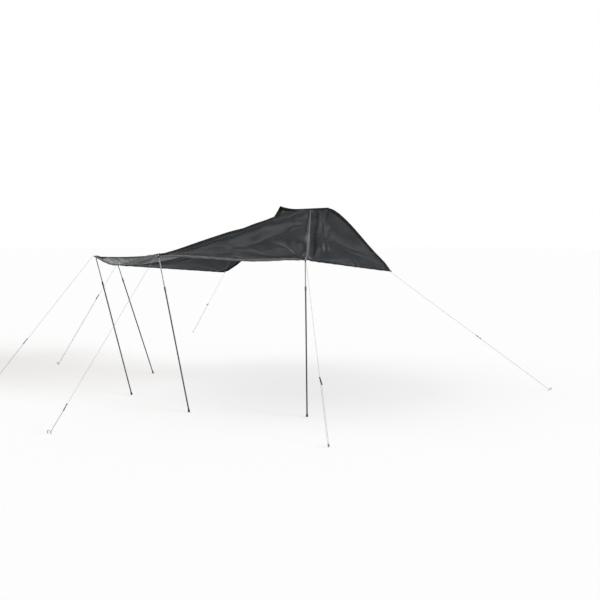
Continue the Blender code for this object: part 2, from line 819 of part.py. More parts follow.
def runner_mesh():
    """The runner: a flat bar, set across the two strands, with an eye for each at its ends.

    The main strand is the Z axis, and the return strand lies at -STRAND_GAP on X.
    """
    half_span = RUNNER_EYE_SPAN / 2
    half_eye = RUNNER_EYE_LENGTH / 2
    bar_near = GUY_RADIUS + RUNNER_BAR_GAP
    tilt = math.atan2(STRAND_GAP, RUNNER_EYE_SPAN)
    bm = bmesh.new()
    bmesh.ops.create_cube(bm, size=1)
    bmesh.ops.scale(bm, verts=bm.verts, vec=(RUNNER_WIDTH, RUNNER_THICK, RUNNER_LENGTH))
    upright = [edge for edge in bm.edges if abs(edge.verts[0].co.y - edge.verts[1].co.y) > RUNNER_THICK / 2]
    bmesh.ops.bevel(bm, geom=upright, offset=RUNNER_END_ROUND, segments=3, affect="EDGES", profile=0.5)
    centre = Vector((-STRAND_GAP / 2, bar_near + RUNNER_THICK / 2, 0))
    bmesh.ops.transform(bm, matrix=Matrix.Translation(centre) @ Matrix.Rotation(tilt, 4, "Y"), verts=bm.verts)
    mesh = bpy.data.meshes.new("runner_bar")
    bm.to_mesh(mesh)
    bm.free()
    bar = bpy.data.objects.new("runner_bar", mesh)
    CUTTERS.objects.link(bar)
    eyes = ((0, half_span), (-STRAND_GAP, -half_span))
    spool = cylinder_mesh("runner_eye", RUNNER_EYE_RADIUS, -half_eye, half_eye, sides=12)
    bore = cylinder_mesh("runner_bore", GUY_RADIUS + FIT, -RUNNER_LENGTH, RUNNER_LENGTH, sides=12)
    helpers = []
    for x, z in eyes:
        helpers.append(add_cutter("runner_eye", spool, Matrix.Translation((x, 0, z))))
        boolean(bar, helpers[-1], "UNION")
    for x, z in eyes:
        helpers.append(add_cutter("runner_bore", bore, Matrix.Translation((x, 0, z))))
        boolean(bar, helpers[-1])
    made = baked_mesh("runner", bar)
    for helper in helpers:
        bpy.data.objects.remove(helper, do_unlink=True)
    return made


def peg_axis(corner):
    """The way a peg goes into the ground: down, and in under the fly."""
    inward = GROMMETS[corner] - peg_point(corner)
    inward.z = 0
    return inward.normalized() * math.sin(PEG_LEAN) - UP * math.cos(PEG_LEAN)


def make_peg(corner):
    """A bent rod peg: a tapered shank, a neck where the line goes round, and a hook turned outward."""
    axis = peg_axis(corner)
    side = axis.cross(UP).normalized()
    outward = side.cross(axis).normalized()
    if outward.dot(peg_point(corner) - GROMMETS[corner]) < 0:
        outward = -outward
    loop = peg_point(corner)
    top = loop - axis * PEG_NECK
    centre = top + outward * PEG_HOOK_RADIUS
    points = [loop + axis * PEG_SHANK, loop + axis * (PEG_SHANK - PEG_POINT), loop + axis * PEG_NECK, top]
    radii = [PEG_TIP_RADIUS / PEG_RADIUS, 1.0, 1.0, 1.0]
    steps = 8
    for step in range(1, steps + 1):
        angle = math.pi * step / steps
        points.append(centre - (outward * math.cos(angle) + axis * math.sin(angle)) * PEG_HOOK_RADIUS)
        radii.append(1.0)
    points.append(points[-1] + axis * PEG_HOOK_TAIL)
    radii.append(1.0)
    add_tube(corner + "_peg", points, PEG_RADIUS, "galvanised_steel", radii)


def make_guys():
    """A line, a runner and a peg at each corner."""
    runner = runner_mesh()
    for corner in CORNERS:
        make_guy_line(corner)
        seat = line_frame(corner) @ Matrix.Translation((0, 0, runner_height(corner)))
        add_object(corner + "_runner", runner, "black_plastic", seat)
        make_peg(corner)


make_canopy()
make_rail_bead()
make_grommets()
make_poles()
make_guys()
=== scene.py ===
"""Looks of the rooftop awning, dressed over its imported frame.

All sizes are in metres, in the frame's own axes: the origin is the middle of the fly's inner edge, X runs along
that edge towards the front, -Y points out over the sheltered ground, and +Z is up.
"""

import logging
import math
from dataclasses import dataclass, field
from enum import Enum
from typing import Callable, ClassVar, Sequence

import bmesh
import bpy
import numpy as np
from mathutils import Matrix, Vector
from mathutils.bvhtree import BVHTree


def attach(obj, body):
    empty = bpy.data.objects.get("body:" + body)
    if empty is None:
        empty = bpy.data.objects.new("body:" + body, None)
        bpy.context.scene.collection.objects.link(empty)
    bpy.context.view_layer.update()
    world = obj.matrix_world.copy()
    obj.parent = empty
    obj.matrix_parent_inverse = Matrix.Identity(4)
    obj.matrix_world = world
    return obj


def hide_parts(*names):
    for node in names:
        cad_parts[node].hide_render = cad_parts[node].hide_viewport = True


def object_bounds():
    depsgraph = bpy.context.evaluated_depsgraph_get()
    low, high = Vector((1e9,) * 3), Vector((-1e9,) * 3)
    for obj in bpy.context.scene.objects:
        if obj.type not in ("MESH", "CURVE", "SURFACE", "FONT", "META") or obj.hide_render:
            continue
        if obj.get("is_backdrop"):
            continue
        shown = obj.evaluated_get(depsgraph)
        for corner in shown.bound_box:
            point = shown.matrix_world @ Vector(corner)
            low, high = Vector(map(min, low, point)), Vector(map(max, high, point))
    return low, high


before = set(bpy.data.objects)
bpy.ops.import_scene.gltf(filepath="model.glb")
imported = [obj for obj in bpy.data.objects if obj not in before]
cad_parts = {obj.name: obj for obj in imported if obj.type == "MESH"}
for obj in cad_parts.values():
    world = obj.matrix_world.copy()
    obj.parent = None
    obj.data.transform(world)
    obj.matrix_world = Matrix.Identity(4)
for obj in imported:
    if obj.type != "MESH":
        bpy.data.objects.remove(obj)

LOG = logging.getLogger("awning")
UP = Vector((0.0, 0.0, 1.0))
ROOT_BODY = "fly"
FINISH_END = "_finish"

# Points nearer than this become one: on turned pieces, and on a tube's seam
WELD = 0.000001
SEAM_WELD = 0.0000005

# Places of the Mix node's two colours among its inputs, and of the result among its outputs
MIX_FIRST, MIX_SECOND, MIX_COLOUR = 6, 7, 2

Socket = bpy.types.NodeSocket
Level = float | Socket
Colour = tuple[float, float, float, float]
Points = Sequence[Vector]


class Corner(Enum):
    """The six corners, in order round the hem from the front wing to the rear wing."""

    WING_FRONT = "wing_front"
    SIDE_FRONT = "side_front"
    OUTER_FRONT = "outer_front"
    OUTER_REAR = "outer_rear"
    SIDE_REAR = "side_rear"
    WING_REAR = "wing_rear"


class Face(Enum):
    """The two faces of the cloth, as signs along its normal."""

    TOP = 1.0
    UNDER = -1.0


CORNERS = list(Corner)
POLED = (Corner.OUTER_FRONT, Corner.OUTER_REAR, Corner.SIDE_FRONT, Corner.SIDE_REAR)

# The creases that run to the outer corners as taut ridges, counted from the front wing
RIDGES = (2, 3)

# The middle of each grommet: along the inner edge, across it, and above the ground
GROMMETS = {
    Corner.WING_FRONT: (1.743, -0.137, 1.616),
    Corner.SIDE_FRONT: (1.992, -1.972, 1.801),
    Corner.OUTER_FRONT: (0.710, -3.006, 1.840),
    Corner.OUTER_REAR: (-0.739, -3.006, 1.814),
    Corner.SIDE_REAR: (-2.018, -1.972, 1.636),
    Corner.WING_REAR: (-1.745, -0.137, 1.478),
}

# Each peg in the plan, where its line goes round it
PEGS = {
    Corner.WING_FRONT: (3.244, 1.416),
    Corner.SIDE_FRONT: (2.790, -2.457),
    Corner.OUTER_FRONT: (0.440, -4.187),
    Corner.OUTER_REAR: (-1.650, -4.155),
    Corner.SIDE_REAR: (-3.146, -2.442),
    Corner.WING_REAR: (-4.594, 1.240),
}

# The middle of each pole's sole in the plan
FEET = {
    Corner.OUTER_FRONT: (0.747, -2.653),
    Corner.OUTER_REAR: (-0.498, -2.677),
    Corner.SIDE_FRONT: (1.865, -1.813),
    Corner.SIDE_REAR: (-1.480, -1.731),
}


# Layout: where the corners, feet, pegs and lines are


@dataclass(frozen=True)
class Layout:
    """The pitched awning's plan, and the frames that its small parts sit in."""

    rail_height: float = 2.477
    rail_half: float = 0.513
    rail_rear_lift: float = 0.06
    rail_lift_from: float = 0.10
    corner_margin: float = 0.030
    strand_gap: float = 0.0124
    exit_past_edge: float = 0.006
    exit_height: float = 0.0015
    wing_exit: float = 0.014
    peg_loop_height: float = 0.018
    peg_lean: float = math.radians(25)
    foot_flat: float = 0.008

    def on_ground(self, x: float, y: float, height: float = 0.0) -> Vector:
        """Returns the point over a place in the plan, at a height above the ground."""
        return Vector((x, y, height - self.rail_height))

    def grommet(self, corner: Corner) -> Vector:
        """Returns the middle of a corner's grommet."""
        return self.on_ground(*GROMMETS[corner])

    def peg(self, corner: Corner) -> Vector:
        """Returns the point on a peg's shank that its line goes round."""
        return self.on_ground(*PEGS[corner], self.peg_loop_height)

    def foot(self, corner: Corner) -> Vector:
        """Returns the middle of a pole's flat sole, whose low edge meets the ground."""
        lean = (self.grommet(corner) - self.on_ground(*FEET[corner])).angle(UP)
        return self.on_ground(*FEET[corner], self.foot_flat * math.sin(lean))

    def rail(self, x: float) -> Vector:
        """Returns a point on the bead's centre line, which rises towards its rear end."""
        past = max(0.0, (-x - self.rail_lift_from) / (self.rail_half - self.rail_lift_from))
        return Vector((x, 0.0, self.rail_rear_lift * past * past))

    def edges(self, corner: Corner) -> tuple[Vector, Vector]:
        """Gives the ways along the cloth's edges from a corner.

        Args:
            corner: The corner.

        Returns:
            The unit directions along the edge before it and the edge after it.
        """
        index = CORNERS.index(corner)
        here = self.grommet(corner)
        first = corner is CORNERS[0]
        last = corner is CORNERS[-1]
        before = self.rail(self.rail_half) if first else self.grommet(CORNERS[index - 1])
        after = self.rail(-self.rail_half) if last else self.grommet(CORNERS[index + 1])
        return (before - here).normalized(), (after - here).normalized()

    def normal(self, corner: Corner) -> Vector:
        """Gives the way up from the cloth at a corner: along its pole, or square to its two edges.

        Args:
            corner: The corner.

        Returns:
            The unit direction.
        """
        if corner in POLED:
            return (self.grommet(corner) - self.foot(corner)).normalized()
        first, second = self.edges(corner)
        normal = first.cross(second).normalized()
        return normal if normal.z > 0 else -normal

    def outward(self, corner: Corner) -> Vector:
        """Gives the way outward along the cloth, midway between a corner's two edges.

        Args:
            corner: The corner.

        Returns:
            The unit direction.
        """
        first, second = self.edges(corner)
        normal = self.normal(corner)
        outward = -(first + second)
        return (outward - normal * outward.dot(normal)).normalized()

    def corner_frame(self, corner: Corner) -> Matrix:
        """Returns a corner's own frame: Z up from the cloth, and X towards its peg."""
        ground_peg = self.peg(corner) - UP * self.peg_loop_height
        return frame_at(self.grommet(corner), self.normal(corner), ground_peg - self.grommet(corner))

    def pole_frame(self, corner: Corner) -> Matrix:
        """Returns a pole's frame: origin in the grommet, and Z up the pole."""
        axis = self.grommet(corner) - self.foot(corner)
        return frame_at(self.grommet(corner), axis, axis - UP)

    def line_exit(self, corner: Corner) -> Vector:
        """Finds where a line leaves its corner: past the hem at a pole, under the eyelet at a wing tip.

        Args:
            corner: The corner.

        Returns:
            The point in the frame's axes.
        """
        reach = self.corner_margin + self.exit_past_edge
        local = Vector((reach, 0, self.exit_height))
        if corner not in POLED:
            local = Vector((self.wing_exit, 0, -self.wing_exit))
        return self.corner_frame(corner) @ local

    def line_frame(self, corner: Corner) -> Matrix:
        """Places the main strand.

        Args:
            corner: The line's corner.

        Returns:
            The strand's frame: Z up the line, X away from the return strand.
        """
        leave = self.line_exit(corner)
        side = (self.peg(corner) - leave).cross(UP).normalized()
        arrive = self.peg(corner) + side * self.strand_gap / 2
        return frame_at(leave, leave - arrive, side)

    def line_length(self, corner: Corner) -> float:
        """Returns the length of the main strand, from the corner to beside the peg."""
        side = self.line_frame(corner).to_3x3().col[0] * self.strand_gap / 2
        return (self.peg(corner) + side - self.line_exit(corner)).length

    def peg_axis(self, corner: Corner) -> Vector:
        """Returns the way a peg goes into the ground: down, and in under the fly."""
        inward = (self.grommet(corner) - self.peg(corner)).to_2d().normalized().to_3d()
        return inward * math.sin(self.peg_lean) - UP * math.cos(self.peg_lean)


def frame_at(origin: Vector, z_axis: Vector, x_hint: Vector) -> Matrix:
    """Makes a placed frame.

    Args:
        origin: Where the frame sits.
        z_axis: The direction of its Z axis.
        x_hint: A direction that its X axis lies as near as square allows.

    Returns:
        The frame as a matrix.
    """
    z = z_axis.normalized()
    y = z.cross(x_hint).normalized()
    return Matrix.Translation(origin) @ Matrix((y.cross(z), y, z)).transposed().to_4x4()


# Mesh helpers


def new_piece(name: str, mesh: bpy.types.Mesh, finish: str, matrix: Matrix | None = None) -> bpy.types.Object:
    """Links a mesh to the scene with its finish.

    Args:
        name: The piece's name.
        mesh: Its mesh.
        finish: The name of a finish that has been made.
        matrix: Its place, or None where the mesh is already in place.

    Returns:
        The new object.
    """
    mesh.name = name
    mesh.materials.clear()
    mesh.materials.append(bpy.data.materials[finish + FINISH_END])
    piece = bpy.data.objects.new(name, mesh)
    bpy.context.scene.collection.objects.link(piece)
    if matrix is not None:
        piece.matrix_world = matrix
    return piece


def grid_mesh(points: np.ndarray, uv: np.ndarray | None = None) -> bpy.types.Mesh:
    """Makes a quad mesh from a grid of points.

    Args:
        points: Rows by columns by 3 coordinates.
        uv: Rows by columns by 2 map coordinates, or None.

    Returns:
        The mesh, shaded smooth.
    """
    rows, columns = points.shape[:2]
    index = np.arange(rows * columns).reshape(rows, columns)
    quads = np.stack([index[:-1, :-1], index[:-1, 1:], index[1:, 1:], index[1:, :-1]], -1).reshape(-1, 4)
    mesh = bpy.data.meshes.new("grid")
    mesh.from_pydata(points.reshape(-1, 3).tolist(), [], quads.tolist())
    if uv is not None:
        layer = mesh.uv_layers.new(name="run")
        layer.data.foreach_set("uv", uv.reshape(-1, 2)[quads.reshape(-1)].astype(np.float32).ravel())
    mesh.shade_smooth()
    return mesh


def turned_mesh(profile: Sequence[tuple[float, float]], steps: int = 48, crisp: float = 38.0) -> bpy.types.Mesh:
    """Turns a profile about Z.

    Args:
        profile: (radius, height) points. A closed ring of them makes a sleeve, and ends on the axis make a plug.
        steps: Sides of the turned piece.
        crisp: Edges sharper than this many degrees stay crisp.

    Returns:
        The mesh.
    """
    bm = bmesh.new()
    verts = [bm.verts.new((radius, 0, height)) for radius, height in profile]
    edges = [bm.edges.new(pair) for pair in zip(verts, verts[1:])]
    bmesh.ops.spin(
        bm, geom=verts + edges, cent=(0, 0, 0), axis=(0, 0, 1), angle=2 * math.pi, steps=steps, use_merge=True
    )
    bmesh.ops.remove_doubles(bm, verts=bm.verts, dist=WELD)
    bmesh.ops.recalc_face_normals(bm, faces=bm.faces)
    mesh = bpy.data.meshes.new("turned")
    bm.to_mesh(mesh)
    bm.free()
    mesh.shade_smooth()
    mesh.set_sharp_from_angle(angle=math.radians(crisp))
    return mesh


def tube_mesh(path: Points, radius: float, sides: int, radii: Sequence[float] | None = None) -> bpy.types.Mesh:
    """Makes a capped tube along a path, with a map that runs round and along it.

    Args:
        path: The points of its centre line.
        radius: The tube's radius.
        sides: Sides of its section.
        radii: A share of the radius at each point, or None for 1 all along.

    Returns:
        The mesh.
    """
    last = len(path) - 1
    tangents = [(path[min(index + 1, last)] - path[max(index - 1, 0)]).normalized() for index in range(len(path))]
    across = tangents[0].orthogonal().normalized()
    rings = np.zeros((len(path), sides + 1, 3))
    uv = np.zeros((len(path), sides + 1, 2))
    run = 0.0
    for index, (spot, tangent) in enumerate(zip(path, tangents)):
        across = (across - tangent * across.dot(tangent)).normalized()
        up = tangent.cross(across)
        run += (spot - path[index - 1]).length if index else 0.0
        share = radii[index] if radii else 1.0
        for side in range(sides + 1):
            angle = 2 * math.pi * side / sides
            rings[index, side] = spot + (across * math.cos(angle) + up * math.sin(angle)) * radius * share
            uv[index, side] = (side / sides, run)
    mesh = grid_mesh(rings, uv)
    bm = bmesh.new()
    bm.from_mesh(mesh)
    bmesh.ops.remove_doubles(bm, verts=bm.verts, dist=SEAM_WELD)
    rims = [edge for edge in bm.edges if edge.is_boundary]
    bmesh.ops.holes_fill(bm, edges=rims, sides=0)
    bmesh.ops.recalc_face_normals(bm, faces=bm.faces)
    bm.to_mesh(mesh)
    bm.free()
    mesh.set_sharp_from_angle(angle=math.radians(60))
    return mesh


def joined_mesh(meshes: Sequence[bpy.types.Mesh]) -> bpy.types.Mesh:
    """Joins meshes into one, and removes the originals.

    Args:
        meshes: The meshes, all in the same axes.

    Returns:
        The joined mesh.
    """
    bm = bmesh.new()
    for mesh in meshes:
        bm.from_mesh(mesh)
        bpy.data.meshes.remove(mesh)
    joined = bpy.data.meshes.new("joined")
    bm.to_mesh(joined)
    bm.free()
    return joined


def smooth_route(route: Points, bends: Sequence[int]) -> list[Vector]:
    """Runs one smooth curve through a route's own points.

    Args:
        route: The points that the curve goes through.
        bends: How many points each stretch gets.

    Returns:
        The curve's points.
    """
    points = []
    count = len(route)
    for index in range(count - 1):
        before = route[max(index - 1, 0)]
        start = route[index]
        end = route[index + 1]
        after = route[min(index + 2, count - 1)]
        span = (end - start).length
        leave = (end - before).normalized() * span
        arrive = (after - start).normalized() * span
        for step in range(bends[index]):
            t = step / bends[index]
            points.append(
                start * (2 * t**3 - 3 * t**2 + 1)
                + leave * (t**3 - 2 * t**2 + t)
                + end * (3 * t**2 - 2 * t**3)
                + arrive * (t**3 - t**2)
            )
    points.append(route[-1])
    return points


# Finishes


class Graph:
    """Short calls for the nodes of one material."""

    WAVE_TURNS = 10
    STITCH_HALF = 0.34

    def __init__(self, name: str) -> None:
        """Starts a material.

        Args:
            name: The finish's name.
        """
        self.material = bpy.data.materials.new(name + FINISH_END)
        self.material.use_nodes = True
        self.tree = self.material.node_tree
        self.shader = self.tree.nodes["Principled BSDF"]

    def node(self, kind: str, **settings: object) -> bpy.types.Node:
        """Adds a node.

        Args:
            kind: The node's type.
            settings: Properties to set on it.

        Returns:
            The node.
        """
        made = self.tree.nodes.new(kind)
        for name, value in settings.items():
            setattr(made, name, value)
        return made

    def feed(self, socket: Socket, value: object) -> None:
        """Links an output to a socket, or sets the socket's own value.

        Args:
            socket: The input.
            value: An output, or a plain value.
        """
        if isinstance(value, bpy.types.NodeSocket):
            self.tree.links.new(value, socket)
        else:
            socket.default_value = value

    def place(self, output: str = "Object", stretch: Sequence[float] = (1, 1, 1)) -> Socket:
        """Gives coordinates to draw with.

        Args:
            output: An output of Texture Coordinate.
            stretch: Scale along each axis.

        Returns:
            The coordinates.
        """
        mapping = self.node("ShaderNodeMapping")
        mapping.inputs["Scale"].default_value = stretch
        self.tree.links.new(self.node("ShaderNodeTexCoord").outputs[output], mapping.inputs["Vector"])
        return mapping.outputs["Vector"]

    def noise(self, place: Socket, scale: float, detail: float = 3.0, rough: float = 0.55) -> Socket:
        """Draws noise.

        Args:
            place: Coordinates.
            scale: Its scale.
            detail: How many finer layers it has.
            rough: How strong those are.

        Returns:
            The noise, from 0 to 1.
        """
        made = self.node("ShaderNodeTexNoise")
        self.feed(made.inputs["Vector"], place)
        made.inputs["Scale"].default_value = scale
        made.inputs["Detail"].default_value = detail
        made.inputs["Roughness"].default_value = rough
        return made.outputs["Fac"]

    def bands(self, place: Socket, period: float, axis: str) -> Socket:
        """Draws even bands.

        Args:
            place: Coordinates.
            period: Distance from one band to the next.
            axis: The axis they follow.

        Returns:
            The bands, from 0 to 1.
        """
        made = self.node("ShaderNodeTexWave", wave_type="BANDS", bands_direction=axis)
        self.feed(made.inputs["Vector"], place)
        made.inputs["Scale"].default_value = math.pi / (self.WAVE_TURNS * period)
        made.inputs["Distortion"].default_value = 0.0
        return made.outputs["Fac"]

    def sum(self, operation: str, first: Level, second: Level = 0.0) -> Socket:
        """Does arithmetic.

        Args:
            operation: The Math node's operation.
            first: Its first value.
            second: Its second value.

        Returns:
            The result.
        """
        made = self.node("ShaderNodeMath", operation=operation)
        self.feed(made.inputs[0], first)
        self.feed(made.inputs[1], second)
        return made.outputs[0]

    def spread(self, value: Socket, low: float, high: float, start: float = 0.3, end: float = 0.7) -> Socket:
        """Maps a range of values onto another.

        Args:
            value: What is mapped.
            low: The result at the start and below.
            high: The result at the end and above.
            start: The value that gives low.
            end: The value that gives high.

        Returns:
            The mapped value.
        """
        made = self.node("ShaderNodeMapRange")
        self.feed(made.inputs["Value"], value)
        for name, number in (("From Min", start), ("From Max", end), ("To Min", low), ("To Max", high)):
            made.inputs[name].default_value = number
        return made.outputs["Result"]

    def blend(self, share: Level, first: object, second: object) -> Socket:
        """Mixes two colours.

        Args:
            share: How much of the second.
            first: A colour or an output.
            second: A colour or an output.

        Returns:
            The mixed colour.
        """
        made = self.node("ShaderNodeMix", data_type="RGBA")
        self.feed(made.inputs["Factor"], share)
        self.feed(made.inputs[MIX_FIRST], first)
        self.feed(made.inputs[MIX_SECOND], second)
        return made.outputs[MIX_COLOUR]

    def bump(self, height: Socket, depth: float, strength: float = 1.0, under: Socket | None = None) -> Socket:
        """Raises the surface.

        Args:
            height: From 0 to 1.
            depth: The depth of 1, in metres.
            strength: How much of it shows.
            under: A normal to build on.

        Returns:
            The normal.
        """
        made = self.node("ShaderNodeBump")
        made.inputs["Distance"].default_value = depth
        made.inputs["Strength"].default_value = strength
        self.feed(made.inputs["Height"], height)
        if under is not None:
            self.feed(made.inputs["Normal"], under)
        return made.outputs["Normal"]

    def stitches(self, rows: Sequence[float], pitch: float, thread: float) -> Socket:
        """Draws rows of stitches along the map's run.

        Args:
            rows: Each row's place across, in metres.
            pitch: From one stitch to the next.
            thread: The thread's width.

        Returns:
            1 on the thread and 0 beside it.
        """
        split = self.node("ShaderNodeSeparateXYZ")
        self.feed(split.inputs[0], self.place("UV"))
        along = self.sum("FRACT", self.sum("DIVIDE", split.outputs[0], pitch))
        on = self.sum("COMPARE", along, 0.5)
        on.node.inputs[2].default_value = self.STITCH_HALF
        total: Level = 0.0
        for row in rows:
            near = self.sum("COMPARE", split.outputs[1], row)
            near.node.inputs[2].default_value = thread / 2
            total = self.sum("MAXIMUM", near, total)
        return self.sum("MULTIPLY", on, total)

    def fixed(self, **values: float) -> None:
        """Sets plain numbers on the shader, named as its sockets with underscores for spaces."""
        for name, value in values.items():
            self.shader.inputs[name.replace("_", " ")].default_value = value

    def done(self, colour: Socket, rough: Socket, normal: Socket) -> None:
        """Links what varies to the shader."""
        for name, socket in (("Base Color", colour), ("Roughness", rough), ("Normal", normal)):
            self.feed(self.shader.inputs[name], socket)


@dataclass(frozen=True)
class ClothFinish:
    """Coated plain-weave polyester: satin, with a faint ripstop grid, a soft crumple and a painted sheen of pale
    streaks near the outer hem.

    Attributes:
        painted_sheen_middle: The painted sheen's middle, in hems from the front wing.
        painted_sheen_half: How far beside it the painted sheen stays whole, and where it ends.
        painted_sheen_run: Where it starts and where it is whole, on the map's way out.
    """

    name: str = "charcoal_cloth"
    dark: Colour = (0.023, 0.0240, 0.0235, 1)
    pale: Colour = (0.031, 0.0320, 0.0315, 1)
    thread: float = 0.0007
    # Colour of the painted sheen: pale streaks near the outer hem that stand in for the sky's reflection on the flat
    # cloth
    painted_sheen: Colour = (0.400, 0.390, 0.370, 1)
    painted_sheen_middle: float = 2.5
    painted_sheen_half: tuple[float, float] = (0.42, 0.52)
    painted_sheen_run: tuple[float, float] = (1.9, 2.9)
    grid: float = 0.006
    rough: float = 0.22

    def painted_sheen_streaks(self, graph: Graph) -> Socket:
        """Draws the painted sheen: pale streaks along the outer hem, where the cloth lies flattest and would reflect
        the bright sky.

        Args:
            graph: The material's nodes.

        Returns:
            Their strength, from 0 to 1.
        """
        split = graph.node("ShaderNodeSeparateXYZ")
        graph.feed(split.inputs[0], graph.place("UV"))
        aside = graph.sum("ABSOLUTE", graph.sum("SUBTRACT", split.outputs[0], self.painted_sheen_middle))
        inside = graph.spread(aside, 1, 0, *self.painted_sheen_half)
        near = graph.spread(split.outputs[1], 0.0, 1.0, *self.painted_sheen_run)
        lines = graph.noise(graph.place("UV", stretch=(1.6, 9.0, 1.0)), scale=1.5, detail=3.0, rough=0.6)
        streaks = graph.spread(lines, low=0.25, high=1.0, start=0.35, end=0.62)
        return graph.sum("MULTIPLY", graph.sum("MULTIPLY", inside, near), streaks)

    def make(self) -> None:
        """Builds the material."""
        graph = Graph(self.name)
        place = graph.place()
        warp = graph.bands(place, self.thread, "X")
        weft = graph.bands(place, self.thread, "Y")
        weave = graph.sum("MAXIMUM", warp, weft)
        rip_warp = graph.spread(graph.bands(place, self.grid, "X"), low=0, high=1, start=0.93, end=0.99)
        rip_weft = graph.spread(graph.bands(place, self.grid, "Y"), low=0, high=1, start=0.93, end=0.99)
        ripstop = graph.sum("MAXIMUM", rip_warp, rip_weft)
        streak = graph.noise(graph.place(stretch=(5.0, 1.2, 5.0)), scale=2.2, detail=5.0)
        cloudy = graph.spread(streak, low=0.0, high=1.0, start=0.30, end=0.72)
        tone = graph.sum("MULTIPLY_ADD", ripstop, 0.12)
        graph.feed(tone.node.inputs[2], cloudy)
        # Share of the painted sheen: the pale streaks near the outer hem, broken up by the streak noise
        wear_and_painted_sheen = graph.sum("MULTIPLY", self.painted_sheen_streaks(graph), graph.spread(streak, low=0.5, high=1.0))
        colour = graph.blend(wear_and_painted_sheen, graph.blend(tone, self.dark, self.pale), self.painted_sheen)
        patchy = graph.noise(place, scale=3.5, detail=4.0)
        rough = graph.spread(patchy, low=self.rough - 0.05, high=self.rough + 0.06)
        crumple = graph.noise(graph.place(stretch=(2.2, 0.8, 1.6)), scale=1.6, detail=2.0, rough=0.40)
        normal = graph.bump(crumple, depth=0.012, strength=0.35)
        normal = graph.bump(graph.noise(place, scale=24.0, detail=2.0), depth=0.0008, strength=0.20, under=normal)
        normal = graph.bump(graph.sum("ADD", weave, ripstop), depth=0.00003, strength=0.4, under=normal)
        graph.fixed(Specular_IOR_Level=0.20)
        graph.done(colour, rough, normal)


@dataclass(frozen=True)
class TapeFinish:
    """Woven binding or webbing with ribs across it and rows of stitches."""

    name: str = "black_tape"
    dark: Colour = (0.0070, 0.0064, 0.0058, 1)
    pale: Colour = (0.0160, 0.0150, 0.0140, 1)
    thread: Colour = (0.035, 0.035, 0.037, 1)
    rib: float = 0.0011
    rows: tuple[float, ...] = (0.0025, 0.0140)
    pitch: float = 0.0042
    stitch: float = 0.0009
    rough: float = 0.74
    sheen: float = 0.0
    specular: float = 0.10

    def make(self) -> None:
        """Builds the material."""
        graph = Graph(self.name)
        run = graph.place("UV")
        ribs = graph.bands(run, self.rib, "X")
        stitch = graph.stitches(self.rows, self.pitch, self.stitch)
        # Random wear only here: the tape gets no painted sheen
        wear_and_painted_sheen = graph.spread(graph.noise(graph.place(), scale=14.0, detail=4.0), low=0.0, high=1.0)
        colour = graph.blend(stitch, graph.blend(wear_and_painted_sheen, self.dark, self.pale), self.thread)
        rough = graph.spread(wear_and_painted_sheen, low=self.rough - 0.06, high=self.rough + 0.06, start=0, end=1)
        normal = graph.bump(ribs, depth=0.00018, strength=0.6)
        normal = graph.bump(stitch, depth=0.0005, strength=0.9, under=normal)
        graph.fixed(Sheen_Weight=self.sheen, Specular_IOR_Level=self.specular)
        graph.done(colour, rough, normal)


@dataclass(frozen=True)
class MetalFinish:
    """Metal with fine marks drawn out along the part, patches of wear, and crystals where it has a spangle."""

    name: str
    dark: Colour
    pale: Colour
    rough: float
    drawn: float = 14.0
    metallic: float = 1.0
    spangle: float = 0.0

    def make(self) -> None:
        """Builds the material."""
        graph = Graph(self.name)
        place = graph.place()
        drawn = graph.noise(graph.place(stretch=(60.0, 60.0, 60.0 / self.drawn)), scale=9.0, detail=4.0)
        cloud = graph.spread(graph.noise(place, scale=22.0, detail=4.0), low=0.0, high=1.0)
        if self.spangle:
            cells = graph.node("ShaderNodeTexVoronoi")
            graph.feed(cells.inputs["Vector"], place)
            cells.inputs["Scale"].default_value = 1.0 / self.spangle
            shade = graph.node("ShaderNodeSeparateColor")
            graph.feed(shade.inputs[0], cells.outputs["Color"])
            cloud = graph.sum("MULTIPLY", cloud, shade.outputs[0])
        colour = graph.blend(cloud, self.dark, self.pale)
        uneven = graph.sum("ADD", graph.sum("MULTIPLY", drawn, 0.6), graph.sum("MULTIPLY", cloud, 0.4))
        rough = graph.spread(uneven, low=self.rough - 0.09, high=self.rough + 0.11)
        normal = graph.bump(drawn, depth=0.00008, strength=0.5)
        graph.fixed(Metallic=self.metallic)
        graph.done(colour, rough, normal)


@dataclass(frozen=True)
class MouldedFinish:
    """Moulded plastic or rubber with a fine grain and paler scuffs."""

    name: str
    dark: Colour
    pale: Colour
    rough: float
    grain: float = 0.00008
    grain_scale: float = 1400.0

    def make(self) -> None:
        """Builds the material."""
        graph = Graph(self.name)
        place = graph.place()
        marks = graph.noise(place, scale=90.0, detail=5.0, rough=0.65)
        scuff = graph.spread(marks, low=0.0, high=1.0, start=0.42, end=0.78)
        colour = graph.blend(scuff, self.dark, self.pale)
        rough = graph.spread(scuff, low=self.rough - 0.05, high=self.rough + 0.12, start=0, end=1)
        grain = graph.noise(place, scale=self.grain_scale, detail=2.0)
        normal = graph.bump(grain, depth=self.grain, strength=0.6)
        graph.fixed(Specular_IOR_Level=0.4)
        graph.done(colour, rough, normal)


